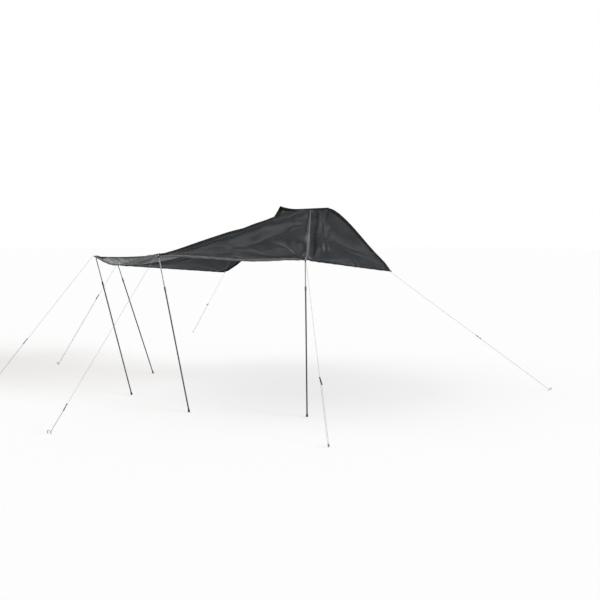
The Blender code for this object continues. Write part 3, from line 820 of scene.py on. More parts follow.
@dataclass(frozen=True)
class CordFinish:
    """Braided polyester cord: crossing strands in two greys."""

    name: str = "pale_cord"
    dark: Colour = (0.16, 0.16, 0.165, 1)
    pale: Colour = (0.42, 0.42, 0.41, 1)
    strands: float = 8.0
    lay: float = 0.0075

    def make(self) -> None:
        """Builds the material."""
        graph = Graph(self.name)
        split = graph.node("ShaderNodeSeparateXYZ")
        graph.feed(split.inputs[0], graph.place("UV"))
        turn = graph.sum("MULTIPLY", split.outputs[0], self.strands)
        climb = graph.sum("DIVIDE", split.outputs[1], self.lay / 2)
        one = graph.sum("PINGPONG", graph.sum("ADD", turn, climb), 0.5)
        other = graph.sum("PINGPONG", graph.sum("SUBTRACT", turn, climb), 0.5)
        over = graph.sum("MAXIMUM", one, other)
        fleck = graph.spread(graph.sum("MULTIPLY", one, other), low=0.0, high=1.0, start=0.02, end=0.16)
        cloud = graph.noise(graph.place(), scale=60.0, detail=3.0)
        share = graph.sum("MULTIPLY", fleck, graph.spread(cloud, low=0.75, high=1.0))
        colour = graph.blend(share, self.dark, self.pale)
        rough = graph.spread(cloud, low=0.62, high=0.80)
        normal = graph.bump(over, depth=0.0006, strength=0.7)
        graph.fixed(Sheen_Weight=0.2)
        graph.done(colour, rough, normal)


def make_finishes() -> None:
    """Makes every finish, each once."""
    finishes = [
        ClothFinish(),
        TapeFinish(),
        # Black webbing on top of the outer ridges, which also stands in for the shade on the steep side beside them:
        # partly real, partly painted shade
        TapeFinish("ridge_tape", rows=(0.003, 0.006, 0.050, 0.053)),
        TapeFinish("seam_tape", (0.055, 0.055, 0.066, 1), (0.095, 0.095, 0.112, 1), (0.15, 0.15, 0.17, 1),
                   rows=(0.002, 0.014), rough=0.52, sheen=0.15, specular=0.35),
        # A paler copy of the black binding: a painted highlight for the two hems that face the light
        TapeFinish("grey_binding", (0.056, 0.053, 0.050, 1), (0.094, 0.089, 0.084, 1), (0.20, 0.20, 0.205, 1),
                   rows=(0.003, 0.0065), rough=0.55, sheen=0.15, specular=0.35),
        TapeFinish("patch_cloth", (0.012, 0.012, 0.013, 1), (0.024, 0.024, 0.026, 1), (0.055, 0.055, 0.058, 1),
                   rows=(0.004, 0.0085), rough=0.68),
        MetalFinish("nickel", (0.50, 0.49, 0.46, 1), (0.68, 0.67, 0.64, 1), 0.26, drawn=1.0),
        MetalFinish("bright_steel", (0.52, 0.52, 0.52, 1), (0.74, 0.74, 0.74, 1), 0.24, drawn=6.0),
        MetalFinish("satin_aluminium", (0.36, 0.36, 0.365, 1), (0.48, 0.48, 0.485, 1), 0.40, drawn=24.0),
        MetalFinish("grey_anodised", (0.080, 0.081, 0.084, 1), (0.125, 0.126, 0.130, 1), 0.44, drawn=24.0,
                    metallic=0.85),
        MetalFinish("galvanised_steel", (0.30, 0.31, 0.32, 1), (0.52, 0.53, 0.54, 1), 0.42, drawn=2.0,
                    spangle=0.006),
        MouldedFinish("black_plastic", (0.010, 0.010, 0.011, 1), (0.030, 0.030, 0.031, 1), 0.46),
        MouldedFinish("grip_plastic", (0.120, 0.120, 0.123, 1), (0.190, 0.190, 0.193, 1), 0.50),
        MouldedFinish("black_rubber", (0.010, 0.010, 0.010, 1), (0.050, 0.048, 0.045, 1), 0.78, grain=0.00015,
                      grain_scale=700.0),
        CordFinish(),
    ]
    for finish in finishes:
        finish.make()


# Fly surface


@dataclass(frozen=True)
class Hem:
    """One hem between two corners.

    Attributes:
        drop: How far it hangs.
        lowest: Where along it the lowest point lies, from 0 to 1.
        point: How pointed that dip is.
        draw: How far it draws in.
        roll: How far the cloth stands above its bound edge.
        columns: Mesh columns along it.
    """

    drop: float
    lowest: float
    point: float
    draw: float
    roll: float
    columns: int


@dataclass(frozen=True)
class Fold:
    """A fold that runs beside a corner's crease.

    Attributes:
        crease: Which corner's crease, counted from the front wing.
        beside: Distance from the crease, positive towards the rear.
        width: Half width of the fold.
        height: How far it stands up, or down where negative.
        start: Where it starts, from 0 at the rail to 1 at the hem.
        end: Where it ends.
        drift: How much further beside the crease it ends than it starts.
    """

    crease: int
    beside: float
    width: float
    height: float
    start: float = 0.0
    end: float = 1.0
    drift: float = 0.0


@dataclass(frozen=True)
class Shoulder:
    """A steep side just beside a taut ridge, where the cloth falls away before it levels out.

    Attributes:
        crease: Which corner's crease.
        side: 1 for its rear side and -1 for its front side.
        depth: How far it falls.
        ramp: Over what distance.
        reach: How far until the cloth is back at its level.
    """

    crease: int
    side: int
    depth: float
    ramp: float
    reach: float


@dataclass(frozen=True)
class Fan:
    """Pulled folds that spread from a corner.

    Attributes:
        corner: Which corner, counted from the front wing.
        height: Height of the folds.
        reach: How far they run.
        folds: How many there are in a full turn.
        turn: Where the first lies, in radians.
    """

    corner: int
    height: float
    reach: float
    folds: float
    turn: float


@dataclass(frozen=True)
class Ripple:
    """A row of small uneven folds: a wave whose pitch wavers, with a finer wave on it.

    Attributes:
        height: Height of the folds.
        turns: The wave's radians per unit of run.
        waver: How far its pitch wavers, in radians.
        waver_turns: That wavering's radians per unit of run.
        fine: The finer wave's share of the height.
        fine_turns: Its radians per unit of run.
        fine_start: Where it starts, in radians.
    """

    height: float
    turns: float
    waver: float
    waver_turns: float
    fine: float
    fine_turns: float
    fine_start: float

    def at(self, run: np.ndarray) -> np.ndarray:
        """Returns the folds' height at places along the row."""
        wave = np.sin(run * self.turns + self.waver * np.sin(run * self.waver_turns))
        return self.height * (wave + self.fine * np.sin(run * self.fine_turns + self.fine_start))


HEMS = (
    Hem(0.002, 0.50, 2.0, 0.022, 0.004, 120),
    Hem(0.029, 0.39, 6.0, 0.022, 0.022, 130),
    Hem(0.110, 0.70, 4.8, 0.084, 0.018, 80),
    Hem(0.045, 0.50, 3.0, 0.060, 0.008, 74),
    Hem(0.0, 0.50, 2.0, 0.045, 0.004, 70),
)
FOLDS = (
    Fold(1, 0.000, 0.018, 0.012, 0.0, 0.97),
    Fold(1, -0.105, 0.062, -0.050, 0.0, 0.97, -0.020),
    Fold(1, -0.270, 0.055, 0.010, 0.05, 0.90, -0.020),
    Fold(1, 0.060, 0.036, -0.013, 0.05, 0.95),
    Fold(1, -0.465, 0.028, -0.009, 0.34, 0.72),
    Fold(1, -0.410, 0.040, 0.006, 0.30, 0.82),
    Fold(1, -0.330, 0.040, -0.010, 0.0, 0.70),
    Fold(1, 0.200, 0.045, 0.010, 0.0, 0.75),
    Fold(1, 0.420, 0.060, 0.012, 0.0, 0.70, 0.30),
    Fold(1, 0.560, 0.050, -0.012, 0.0, 0.66, 0.45),
    Fold(2, -0.215, 0.095, 0.007, 0.10, 0.98, -0.030),
    Fold(2, -0.450, 0.140, -0.016, 0.25, 0.95, -0.100),
    Fold(2, 0.130, 0.040, -0.006, 0.40, 0.98),
    Fold(3, -0.110, 0.035, -0.007, 0.30, 0.98),
    Fold(3, 0.090, 0.030, 0.006, 0.20, 0.92),
    Fold(4, 0.000, 0.022, 0.012, 0.0, 0.97),
    Fold(4, 0.060, 0.030, -0.012, 0.0, 0.92),
    Fold(4, 0.330, 0.030, -0.008, 0.25, 0.80),
)
SHOULDERS = (
    Shoulder(2, -1, 0.042, 0.028, 0.20),
    Shoulder(2, 1, 0.010, 0.030, 0.30),
    Shoulder(3, 1, 0.034, 0.034, 0.24),
    Shoulder(3, -1, 0.010, 0.030, 0.30),
)
FANS = (
    Fan(0, 0.0045, 0.50, 11.0, 0.4),
    Fan(1, 0.0150, 0.90, 12.0, 1.1),
    Fan(2, 0.0060, 0.95, 12.0, 0.2),
    Fan(3, 0.0065, 0.90, 13.0, 2.1),
    Fan(4, 0.0055, 0.80, 12.0, 0.9),
    Fan(5, 0.0045, 0.50, 11.0, 2.6),
)
HEM_RIPPLE = Ripple(0.0012, 37.0, 1.3, 9.0, 0.6, 61.0, 2.0)
RAIL_GATHER = Ripple(0.0028, 95.0, 1.7, 21.0, 0.5, 170.0, 0.6)


class FlySurface:
    """The pitched cloth as a surface: u counts hems from the front wing, and t goes from the rail to the hem.

    A RISE or FADE says how steeply something grows or dies away, and a REACH over what distance. SAGS are the sags at
    every half hem, and SWELLS the slopes and starts of three broad waves.
    """

    SAGS = (0.0, 0.04, 0.03, 0.02, -0.02, 0.16, 0.22, 0.20, 0.18, 0.15, 0.15)
    SIDE_CREASE_HALF = 0.165
    OUTER_CREASE_HALF = 0.025
    BEAD_RADIUS = 0.0035
    CAD_CLOTH = 0.002
    FIT = 0.0003
    EDGE_BULGE = 0.135
    EDGE_BULGE_POWER = 2.4
    RAIL_EASE = 0.18
    FOLD_FADE = 6
    FOLD_RAIL_RISE = 9
    SHOULDER_RISE = 4
    SHOULDER_FADE = 5
    HEM_SLACK = 0.25
    HEM_SLACK_REACH = 0.25
    RIDGE_TAUTNESS = 0.9
    RIDGE_REACH = 0.16
    FAN_REACH = 0.22
    FAN_END = 4
    FINE_FAN = 0.55
    FINE_FAN_TURNS = 1.7
    FINE_FAN_TURN = 2.3
    ROLL_RISE = 4
    ROLL_EDGE_REACH = 0.014
    ROLL_REACH = 0.20
    HEM_RUN = 1.7
    HEM_RIPPLE_RISE = 4
    HEM_RIPPLE_REACH = 0.16
    GATHER_REACH = 0.22
    GATHER_START_REACH = 0.03
    SWELLS = ((2.9, 1.8, 0.0), (1.7, -3.6, 1.0), (7.3, -2.2, 0.4))
    SWELL_HEIGHT = 0.010
    SWELL_REACH = 0.3
    PATCH_FLAT = 0.020
    PATCH_BLEND = 0.062
    STEP = 0.0004
    NEARLY_NONE = 1e-9

    def __init__(self, layout: Layout) -> None:
        """Works out the corners.

        Args:
            layout: The awning's plan.
        """
        self.layout = layout
        self.grommets = np.array([layout.grommet(corner) for corner in CORNERS])
        self.normals_up = np.array([layout.normal(corner) for corner in CORNERS])
        outward = np.array([layout.outward(corner) for corner in CORNERS])
        self.tips = self.grommets + outward * layout.corner_margin
        half = layout.rail_half
        side = self.SIDE_CREASE_HALF
        outer = self.OUTER_CREASE_HALF
        self.rail_ends = np.array((half, side, outer, -outer, -side, -half))
        self.hem_spans = np.linalg.norm(np.diff(self.tips, axis=0), axis=1)
        self.rail_spans = -np.diff(self.rail_ends)

    def drape(self, u: np.ndarray, t: np.ndarray) -> np.ndarray:
        """Gives points of the sagging cloth, before its folds.

        Args:
            u: Place round the hem.
            t: Place from the rail to the hem.

        Returns:
            One point for each pair.
        """
        layout = self.layout
        k = np.clip(u.astype(int), 0, len(HEMS) - 1)
        f = u - k
        x = self.rail_ends[k] - self.rail_spans[k] * f
        past = np.maximum(0.0, (-x - layout.rail_lift_from) / (layout.rail_half - layout.rail_lift_from))
        rail = np.stack([x, np.zeros_like(x), layout.rail_rear_lift * past**2], 1)
        along = self.tips[k + 1] - self.tips[k]
        inward = np.stack([along[:, 1], -along[:, 0], np.zeros_like(x)], 1)
        inward /= np.linalg.norm(inward, axis=1)[:, None]
        traits = np.array([(hem.drop, hem.lowest, hem.point, hem.draw) for hem in HEMS])[k]
        drop, lowest, point, draw = traits.T
        inside = np.clip(f, self.NEARLY_NONE, 1 - self.NEARLY_NONE)
        dip = (inside / lowest) ** (point * lowest) * ((1 - inside) / (1 - lowest)) ** (point * (1 - lowest))
        hem = self.tips[k] + along * f[:, None] + inward * (draw * 4 * f * (1 - f))[:, None]
        hem[:, 2] -= drop * dip
        lead = np.stack([np.zeros_like(x), hem[:, 1], hem[:, 2] - rail[:, 2]], 1)
        rail += lead / np.linalg.norm(lead, axis=1)[:, None] * (self.BEAD_RADIUS + self.CAD_CLOTH / 2 + self.FIT)
        points = rail + (hem - rail) * t[:, None]
        sags = np.array(self.SAGS)
        half = np.clip((2 * u).astype(int), 0, len(sags) - 2)
        ease = np.clip(2 * u - half, 0, 1)
        ease = ease * ease * (3 - 2 * ease)
        sag = sags[half] + (sags[half + 1] - sags[half]) * ease
        points[:, 2] -= sag * 4 * t * (1 - t)
        bulge = np.clip(1 - u, 0, 1) ** self.EDGE_BULGE_POWER * (1 - t) * (1 - np.exp(-t / self.RAIL_EASE))
        points[:, 2] += self.EDGE_BULGE * bulge
        return points

    def beside(self, u: np.ndarray, t: np.ndarray, crease: int) -> np.ndarray:
        """Measures how far places are from a corner's crease.

        Args:
            u: Place round the hem.
            t: Place from the rail to the hem.
            crease: Which corner's crease.

        Returns:
            One distance for each pair, positive towards the rear.
        """
        ahead = max(crease - 1, 0)
        behind = min(crease, len(HEMS) - 1)
        spans = [self.rail_spans[k] * (1 - t) + self.hem_spans[k] * t for k in (ahead, behind)]
        return (u - crease) * np.where(u < crease, spans[0], spans[1])

    def folds(self, u: np.ndarray, t: np.ndarray, points: np.ndarray) -> np.ndarray:
        """Gives how far the cloth stands up in its folds.

        Args:
            u: Place round the hem.
            t: Place from the rail to the hem.
            points: The same places on the drape.

        Returns:
            One height for each point.
        """
        height = self.seam_folds(u, t)
        reach = np.linalg.norm(self.drape(u, np.ones_like(t)) - self.drape(u, np.zeros_like(t)), axis=1)
        from_hem = (1 - t) * reach
        from_rail = t * reach
        slack = np.clip(self.HEM_SLACK + from_hem / self.HEM_SLACK_REACH, 0, 1)
        for crease in RIDGES:
            slack *= 1 - self.RIDGE_TAUTNESS * np.exp(-((self.beside(u, t, crease) / self.RIDGE_REACH) ** 2))
        for fan in FANS:
            height += self.fan_height(fan, points) * slack
        k = np.clip(u.astype(int), 0, len(HEMS) - 1)
        middle = np.clip(np.sin(np.pi * (u - k)) * self.ROLL_RISE, 0, 1)
        roll = np.array([hem.roll for hem in HEMS])[k] * middle
        height += roll * (1 - np.exp(-from_hem / self.ROLL_EDGE_REACH)) * np.exp(-((from_hem / self.ROLL_REACH) ** 2))
        ripple = HEM_RIPPLE.at(u * self.HEM_RUN) * np.exp(-from_hem / self.HEM_RIPPLE_REACH)
        height += ripple * np.clip(t * self.HEM_RIPPLE_RISE, 0, 1)
        x, y = points[:, 0], points[:, 1]
        gather = RAIL_GATHER.at(x) * np.exp(-from_rail / self.GATHER_REACH)
        height += gather * (1 - np.exp(-from_rail / self.GATHER_START_REACH))
        first, second, third = (np.sin(along * x + across * y + start) for along, across, start in self.SWELLS)
        swell = self.SWELL_HEIGHT * (first * second + 0.5 * third) * slack
        height += swell * np.clip(from_hem / self.SWELL_REACH, 0, 1) * np.clip(from_rail / self.SWELL_REACH, 0, 1)
        return height

    def seam_folds(self, u: np.ndarray, t: np.ndarray) -> np.ndarray:
        """Gives the height of the folds and shoulders beside the creases.

        Args:
            u: Place round the hem.
            t: Place from the rail to the hem.

        Returns:
            One height for each pair.
        """
        height = np.zeros(len(u))
        for fold in FOLDS:
            length = (t - fold.start) / (fold.end - fold.start)
            away = (self.beside(u, t, fold.crease) - fold.beside - fold.drift * length) / fold.width
            grown = length * self.FOLD_FADE if fold.start else t * self.FOLD_RAIL_RISE
            fade = np.clip(grown, 0, 1) * np.clip((1 - length) * self.FOLD_FADE, 0, 1)
            height += fold.height * np.exp(-away * away) * fade * fade * (3 - 2 * fade)
        for shoulder in SHOULDERS:
            away = np.maximum(0.0, self.beside(u, t, shoulder.crease) * shoulder.side)
            fade = np.clip(t * self.SHOULDER_RISE, 0, 1) * np.clip((1 - t) * self.SHOULDER_FADE, 0, 1)
            fall = (1 - np.exp(-((away / shoulder.ramp) ** 2))) * np.exp(-((away / shoulder.reach) ** 2))
            height -= shoulder.depth * fall * fade
        return height

    def fan_height(self, fan: Fan, points: np.ndarray) -> np.ndarray:
        """Gives the height of one corner's pulled folds.

        Args:
            fan: The corner's fan.
            points: Points of the drape.

        Returns:
            One height for each point.
        """
        inward = Vector(self.grommets[fan.corner] - self.tips[fan.corner]).normalized()
        up = Vector(self.normals_up[fan.corner])
        aside = up.cross(inward)
        away = points - self.grommets[fan.corner]
        ahead = away @ np.array(inward)
        across = away @ np.array(aside)
        distance = np.hypot(ahead, across)
        angle = np.arctan2(across, ahead)
        fine = np.sin(fan.folds * self.FINE_FAN_TURNS * angle + self.FINE_FAN_TURN * fan.turn)
        ripple = np.sin(fan.folds * angle + fan.turn) + self.FINE_FAN * fine
        rise = np.clip(distance / self.FAN_REACH, 0, 1)
        fade = np.exp(-((distance / fan.reach) ** 2)) * (distance < self.FAN_END * fan.reach)
        return fan.height * ripple * rise * fade

    def points(self, u: np.ndarray, t: np.ndarray) -> np.ndarray:
        """Gives points of the finished cloth, at the middle of its thickness.

        Args:
            u: Place round the hem.
            t: Place from the rail to the hem.

        Returns:
            One point for each pair.
        """
        u = np.clip(np.asarray(u, float), 0.0, len(HEMS))
        t = np.clip(np.asarray(t, float), 0.0, 1.0)
        drape = self.drape(u, t)
        points = drape + self.normals(self.drape, u, t) * self.folds(u, t, drape)[:, None]
        for grommet, normal in zip(self.grommets, self.normals_up):
            offset = points - grommet
            distance = np.linalg.norm(offset, axis=1)
            share = np.clip((self.PATCH_BLEND - distance) / (self.PATCH_BLEND - self.PATCH_FLAT), 0, 1)
            share = share * share * (3 - 2 * share)
            points = points - normal * ((offset @ normal) * share)[:, None]
        return points

    def normals(
        self, surface: Callable[[np.ndarray, np.ndarray], np.ndarray], u: np.ndarray, t: np.ndarray
    ) -> np.ndarray:
        """Gives a surface's normals, which point up.

        Args:
            surface: drape or points.
            u: Place round the hem.
            t: Place from the rail to the hem.

        Returns:
            One unit normal for each pair.
        """
        step = self.STEP
        low_u = np.clip(u - step, 0, len(HEMS))
        high_u = np.clip(u + step, 0, len(HEMS))
        low_t = np.clip(t - step, 0, 1)
        high_t = np.clip(t + step, 0, 1)
        with_u = (surface(high_u, t) - surface(low_u, t)) / (high_u - low_u)[:, None]
        with_t = (surface(u, high_t) - surface(u, low_t)) / (high_t - low_t)[:, None]
        normal = np.cross(with_u, with_t)
        return normal / np.linalg.norm(normal, axis=1)[:, None]


# Fly


class FlyGrid:
    """The fly's grid of points. Its lines follow the edges of the tapes, so that a tape never dips into the cloth."""

    STEPS = (0.0, 0.25, 0.5, 0.75, 1.0)
    HALF_WIDTHS = (0.075, 0.009, 0.028, 0.028, 0.009, 0.075)
    HEM_WIDTH = 0.024
    FLANGE = 0.045
    TAPER_START = 0.25
    TAPER_END = 0.35
    ROWS = 82
    ROW_POWER = 1.3
    CLUSTER = 0.72
    MAP_RUN = 3.0

    def __init__(self, surface: FlySurface) -> None:
        """Lays out the grid and works out its points and normals.

        Args:
            surface: The cloth that the grid lies on.
        """
        self.surface = surface
        segment, left, middle, right = self.column_shares()
        ones = np.ones((1, len(segment)))
        hem_u = self.across(segment, left, middle, right, ones)[0]
        reach = np.linalg.norm(surface.drape(hem_u, ones[0]) - surface.drape(hem_u, 0 * ones[0]), axis=1)
        t = self.row_places(reach)
        u = self.across(segment, left, middle, right, t)
        self.points = surface.points(u.ravel(), t.ravel()).reshape(*u.shape, 3)
        normals = np.cross(np.gradient(self.points, axis=1), np.gradient(self.points, axis=0))
        self.normals = normals / np.linalg.norm(normals, axis=2)[..., None]
        starts = (left == 0) & (middle == 0) & (right == 0)
        self.creases = [int(np.flatnonzero(starts & (segment == k))[0]) for k in range(len(HEMS))] + [len(segment) - 1]
        self.run = np.stack([u, t * self.MAP_RUN], -1)

    def column_shares(self) -> tuple[np.ndarray, np.ndarray, np.ndarray, np.ndarray]:
        """Lists the columns.

        Returns:
            Each column's segment, and its share of the segment's left tape, open cloth and right tape.
        """
        columns = []
        for k, hem in enumerate(HEMS):
            columns += [(k, step, 0.0, 0.0) for step in self.STEPS]
            for index in range(1, hem.columns):
                g = index / hem.columns
                columns.append((k, 1.0, g - self.CLUSTER * math.sin(2 * math.pi * g) / (2 * math.pi), 0.0))
            columns += [(k, 1.0, 1.0, step) for step in self.STEPS[:-1]]
        columns.append((len(HEMS) - 1, 1.0, 1.0, 1.0))
        segment, left, middle, right = np.array(columns).T
        return segment.astype(int), left, middle, right

    def across(self, segment: np.ndarray, left: np.ndarray, middle: np.ndarray, right: np.ndarray,
               t: np.ndarray) -> np.ndarray:
        """Turns the columns' shares into places round the hem.

        Args:
            segment: Each column's segment.
            left: Its share of the left tape.
            middle: Its share of the open cloth.
            right: Its share of the right tape.
            t: Places from the rail to the hem, rows by columns.

        Returns:
            Places round the hem, rows by columns.
        """
        spans = self.surface.rail_spans[segment] * (1 - t) + self.surface.hem_spans[segment] * t
        widths = np.array(self.HALF_WIDTHS)
        taper = np.clip(t / self.TAPER_END, self.TAPER_START, 1.0)
        starts = widths[segment] * np.where(segment == 0, 1.0, taper)
        ends = widths[segment + 1] * np.where(segment == len(HEMS) - 1, 1.0, taper)
        offset = left * starts + middle * (spans - starts - ends) + right * ends
        return segment + offset / spans

    def row_places(self, reach: np.ndarray) -> np.ndarray:
        """Lays out the rows: the bead's flange, the open cloth and the hem.

        Args:
            reach: From the rail to the hem, for each column.

        Returns:
            Places from the rail to the hem, rows by columns.
        """
        steps = np.array(self.STEPS)[:, None]
        flange = steps * self.FLANGE / reach
        hem = 1 - (1 - steps) * self.HEM_WIDTH / reach
        shares = 1 - (1 - np.arange(1, self.ROWS)[:, None] / self.ROWS) ** self.ROW_POWER
        return np.concatenate([flange, flange[-1] + shares * (hem[0] - flange[-1]), hem])

    def lifted(self, rows: slice, columns: slice, lift: float) -> np.ndarray:
        """Returns part of the grid, lifted off the cloth's middle."""
        return self.points[rows, columns] + self.normals[rows, columns] * lift


@dataclass
class Fly:
    """The cloth with its tapes, seams, corner patches and bead."""

    surface: FlySurface
    thickness: float = 0.0008
    tape_thick: float = 0.0003
    tape_lift: float = 0.0012
    patch_thick: float = 0.0002
    patch_lift: float = 0.00072
    patch_reach: float = 0.165
    patch_side: float = 0.150
    patch_columns: int = 61
    patch_rows: int = 37
    patch_curve: float = 1.7
    hole_radius: float = 0.0070
    hole_sides: int = 12
    hole_zone: float = 0.035
    hole_weld: float = 0.00001
    hem_turn: tuple[float, ...] = (30, 60, 90, 120, 150)
    # Hems bound in the paler binding: a painted highlight where they face the light
    painted_highlight_hems: tuple[int, ...] = (1, 2)
    bead_steps: int = 60
    bead_sides: int = 14
    core_radius: float = 0.0026
    core_shows: float = 0.0025
    pieces: list[bpy.types.Object] = field(default_factory=list)

    def punched(self, mesh: bpy.types.Mesh, corner: Corner) -> None:
        """Cuts the hole for a corner's eyelet out of a sheet.

        Args:
            mesh: The sheet, before it gets its thickness.
            corner: The corner whose eyelet goes through it.
        """
        place = self.surface.layout.corner_frame(corner)
        centre = place.translation
        spots = np.empty(len(mesh.vertices) * 3)
        mesh.vertices.foreach_get("co", spots)
        near = np.linalg.norm(spots.reshape(-1, 3) - np.array(centre), axis=1) < self.hole_zone
        if not near.any():
            return
        bm = bmesh.new()
        bm.from_mesh(mesh)
        bm.verts.ensure_lookup_table()
        zone = {face for index in np.flatnonzero(near) for face in bm.verts[int(index)].link_faces}
        for side in range(self.hole_sides):
            angle = 2 * math.pi * side / self.hole_sides
            outward = place.to_3x3() @ Vector((math.cos(angle), math.sin(angle), 0))
            parts = zone | {edge for face in zone for edge in face.edges}
            parts |= {vert for face in zone for vert in face.verts}
            cut = bmesh.ops.bisect_plane(
                bm, geom=list(parts), dist=self.hole_weld, plane_co=centre + outward * self.hole_radius,
                plane_no=outward
            )
            zone = {part for part in cut["geom"] if isinstance(part, bmesh.types.BMFace)}
        upright = place.to_3x3().col[2]
        inside = []
        for face in zone:
            away = face.calc_center_median() - centre
            if (away - upright * away.dot(upright)).length < self.hole_radius:
                inside.append(face)
        bmesh.ops.delete(bm, geom=inside, context="FACES")
        bm.to_mesh(mesh)
        bm.free()

    def add(self, name: str, mesh: bpy.types.Mesh, finish: str, slot: str, thick: float) -> bpy.types.Object:
        """Adds a sheet with its eyelets' holes and its thickness, riding with the fly.

        Args:
            name: The piece's name.
            mesh: Its mesh.
            finish: Its finish.
            slot: The record's material slot. It is not used.
            thick: Its thickness.

        Returns:
            The piece.
        """
        for corner in CORNERS:
            self.punched(mesh, corner)
        piece = new_piece(name, mesh, finish)
        shell = piece.modifiers.new("thickness", "SOLIDIFY")
        shell.thickness = thick
        shell.offset = 0.0
        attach(piece, ROOT_BODY)
        return piece

    def add_tape(self, name: str, points: np.ndarray, finish: str, folded: bool = False) -> None:
        """Adds a tape whose map gives metres along it and across it.

        Args:
            name: The tape's name.
            points: Its points, along it by across it.
            finish: Its finish.
            folded: Whether it is folded in two, so that both halves are mapped from their inner edge.
        """
        middle = points[:, points.shape[1] // 2]
        along = np.concatenate([[0.0], np.cumsum(np.linalg.norm(np.diff(middle, axis=0), axis=1))])
        steps = np.linalg.norm(np.diff(points, axis=1), axis=2)
        across = np.concatenate([np.zeros((len(points), 1)), np.cumsum(steps, axis=1)], 1)
        if folded:
            across = np.minimum(across, across[:, -1:] - across)
        uv = np.stack([np.repeat(along[:, None], points.shape[1], 1), across], -1)
        self.pieces.append(self.add(name, grid_mesh(points, uv), finish, "charcoal_cloth", self.tape_thick))

    def make_hems(self, grid: FlyGrid) -> None:
        """Binds the five hems, and the two wing edges.

        Args:
            grid: The cloth's grid.
        """
        rows = slice(-len(grid.STEPS), None)
        for k in range(len(HEMS)):
            columns = slice(grid.creases[k], grid.creases[k + 1] + 1)
            # The hems that face the light get the paler binding, a painted highlight on what is black tape
            finish = "grey_binding" if k in self.painted_highlight_hems else "black_tape"
            self.bind(f"hem_tape_{k + 1}", grid, rows, columns, False, finish)
        along = slice(0, 1 - len(grid.STEPS))
        self.bind("edge_tape_front", grid, along, slice(len(grid.STEPS) - 1, None, -1), True, "black_tape")
        self.bind("edge_tape_rear", grid, along, slice(-len(grid.STEPS), None), True, "black_tape")

    def bind(self, name: str, grid: FlyGrid, rows: slice, columns: slice, upright: bool, finish: str) -> None:
        """Folds a tape round a stretch of the cloth's edge.

        Args:
            name: The tape's name.
            grid: The cloth's grid.
            rows: The grid's rows under it.
            columns: The grid's columns under it.
            upright: Whether it runs along the rows' direction, and so across the columns.
            finish: Its finish.
        """
        spots = grid.points[rows, columns]
        normals = grid.normals[rows, columns]
        if not upright:
            spots = spots.swapaxes(0, 1)
            normals = normals.swapaxes(0, 1)
        edge = spots[:, -1]
        outward = edge - spots[:, -2]
        outward /= np.linalg.norm(outward, axis=1)[:, None]
        turn = [
            edge + (normals[:, -1] * math.cos(angle) + outward * math.sin(angle)) * self.tape_lift
            for angle in np.radians(self.hem_turn)
        ]
        top = spots + normals * self.tape_lift
        under = (spots - normals * self.tape_lift)[:, ::-1]
        self.add_tape(name, np.concatenate([top, np.stack(turn, 1), under], 1), finish, folded=True)

    def make_seams(self, grid: FlyGrid) -> None:
        """Sews the ridge tapes over the outer creases and narrow tapes over the side creases, on both faces. The black
        ridge tape on top is partly a webbing and partly painted shade for the steep side just beside the ridge.

        Args:
            grid: The cloth's grid.
        """
        reach = len(grid.STEPS) - 1
        rows = slice(reach, 1 - len(grid.STEPS))
        for crease in range(1, len(HEMS)):
            middle = grid.creases[crease]
            columns = slice(middle - reach, middle + reach + 1)
            for face in Face:
                # The black ridge tape on top is partly webbing and partly painted shade on the ridge's steep side
                kind = "ridge_tape" if crease in RIDGES and face is Face.TOP else "seam_tape"
                name = f"{kind}_{CORNERS[crease].value}_{face.name.lower()}"
                self.add_tape(name, grid.lifted(rows, columns, face.value * self.tape_lift), kind)

    def make_patches(self, grid: FlyGrid, tree: BVHTree) -> None:
        """Sews a doubled patch on both faces of each corner.

        Args:
            grid: The cloth's grid.
            tree: The cloth's faces, which the patches lie on.
        """
        last = len(HEMS)
        spans = self.surface.hem_spans
        for index, corner in enumerate(CORNERS):
            reach = float(np.linalg.norm(grid.points[-1, grid.creases[index]] - grid.points[0, grid.creases[index]]))
            low = -1.0 if index > 0 else 0.0
            high = 1.0 if index < last else 0.0
            s, q = np.meshgrid(np.linspace(low, high, self.patch_columns), np.linspace(0.0, 1.0, self.patch_rows))
            side = np.where(s < 0, spans[max(index - 1, 0)], spans[min(index, last - 1)])
            u = (index + s * self.patch_side / side).ravel()
            depth = 1 - np.abs(s) ** self.patch_curve
            t = (1 - (1 - q) * (self.patch_reach * depth) / reach).ravel()
            normals = self.surface.normals(self.surface.points, u, t)
            nearest = [tree.find_nearest(Vector(point))[0] for point in self.surface.points(u, t)]
            uv = np.stack([s * self.patch_side, depth * q * self.patch_reach], -1)
            for face in Face:
                spots = np.array(nearest) + normals * face.value * self.patch_lift
                mesh = grid_mesh(spots.reshape(*s.shape, 3), uv)
                name = f"corner_patch_{corner.value}_{face.name.lower()}"
                self.pieces.append(self.add(name, mesh, "patch_cloth", "charcoal_cloth", self.patch_thick))

    def make_bead(self, grid: FlyGrid) -> None:
        """Makes the bead's cover with its core's ends, and the flange that is sewn to both faces of the cloth.

        Args:
            grid: The cloth's grid.
        """
        layout = self.surface.layout
        half = layout.rail_half
        path = [layout.rail(half - 2 * half * step / self.bead_steps) for step in range(self.bead_steps + 1)]
        cover = new_piece("bead_cover", tube_mesh(path, self.surface.BEAD_RADIUS, self.bead_sides), "black_tape")
        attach(cover, ROOT_BODY)
        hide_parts("rail_bead")
        ends = []
        for x, way in ((half, 1.0), (-half, -1.0)):
            end = layout.rail(x)
            tip = end + Vector((self.core_shows * way, 0, 0))
            ends.append(tube_mesh([end, tip], self.core_radius, self.bead_sides))
        core = new_piece("bead_core_ends", joined_mesh(ends), "black_plastic")
        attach(core, ROOT_BODY)
        rows = slice(0, len(grid.STEPS))
        for face in Face:
            points = grid.lifted(rows, slice(None), face.value * self.tape_lift).swapaxes(0, 1)
            self.add_tape(f"bead_flange_{face.name.lower()}", points, "black_tape")

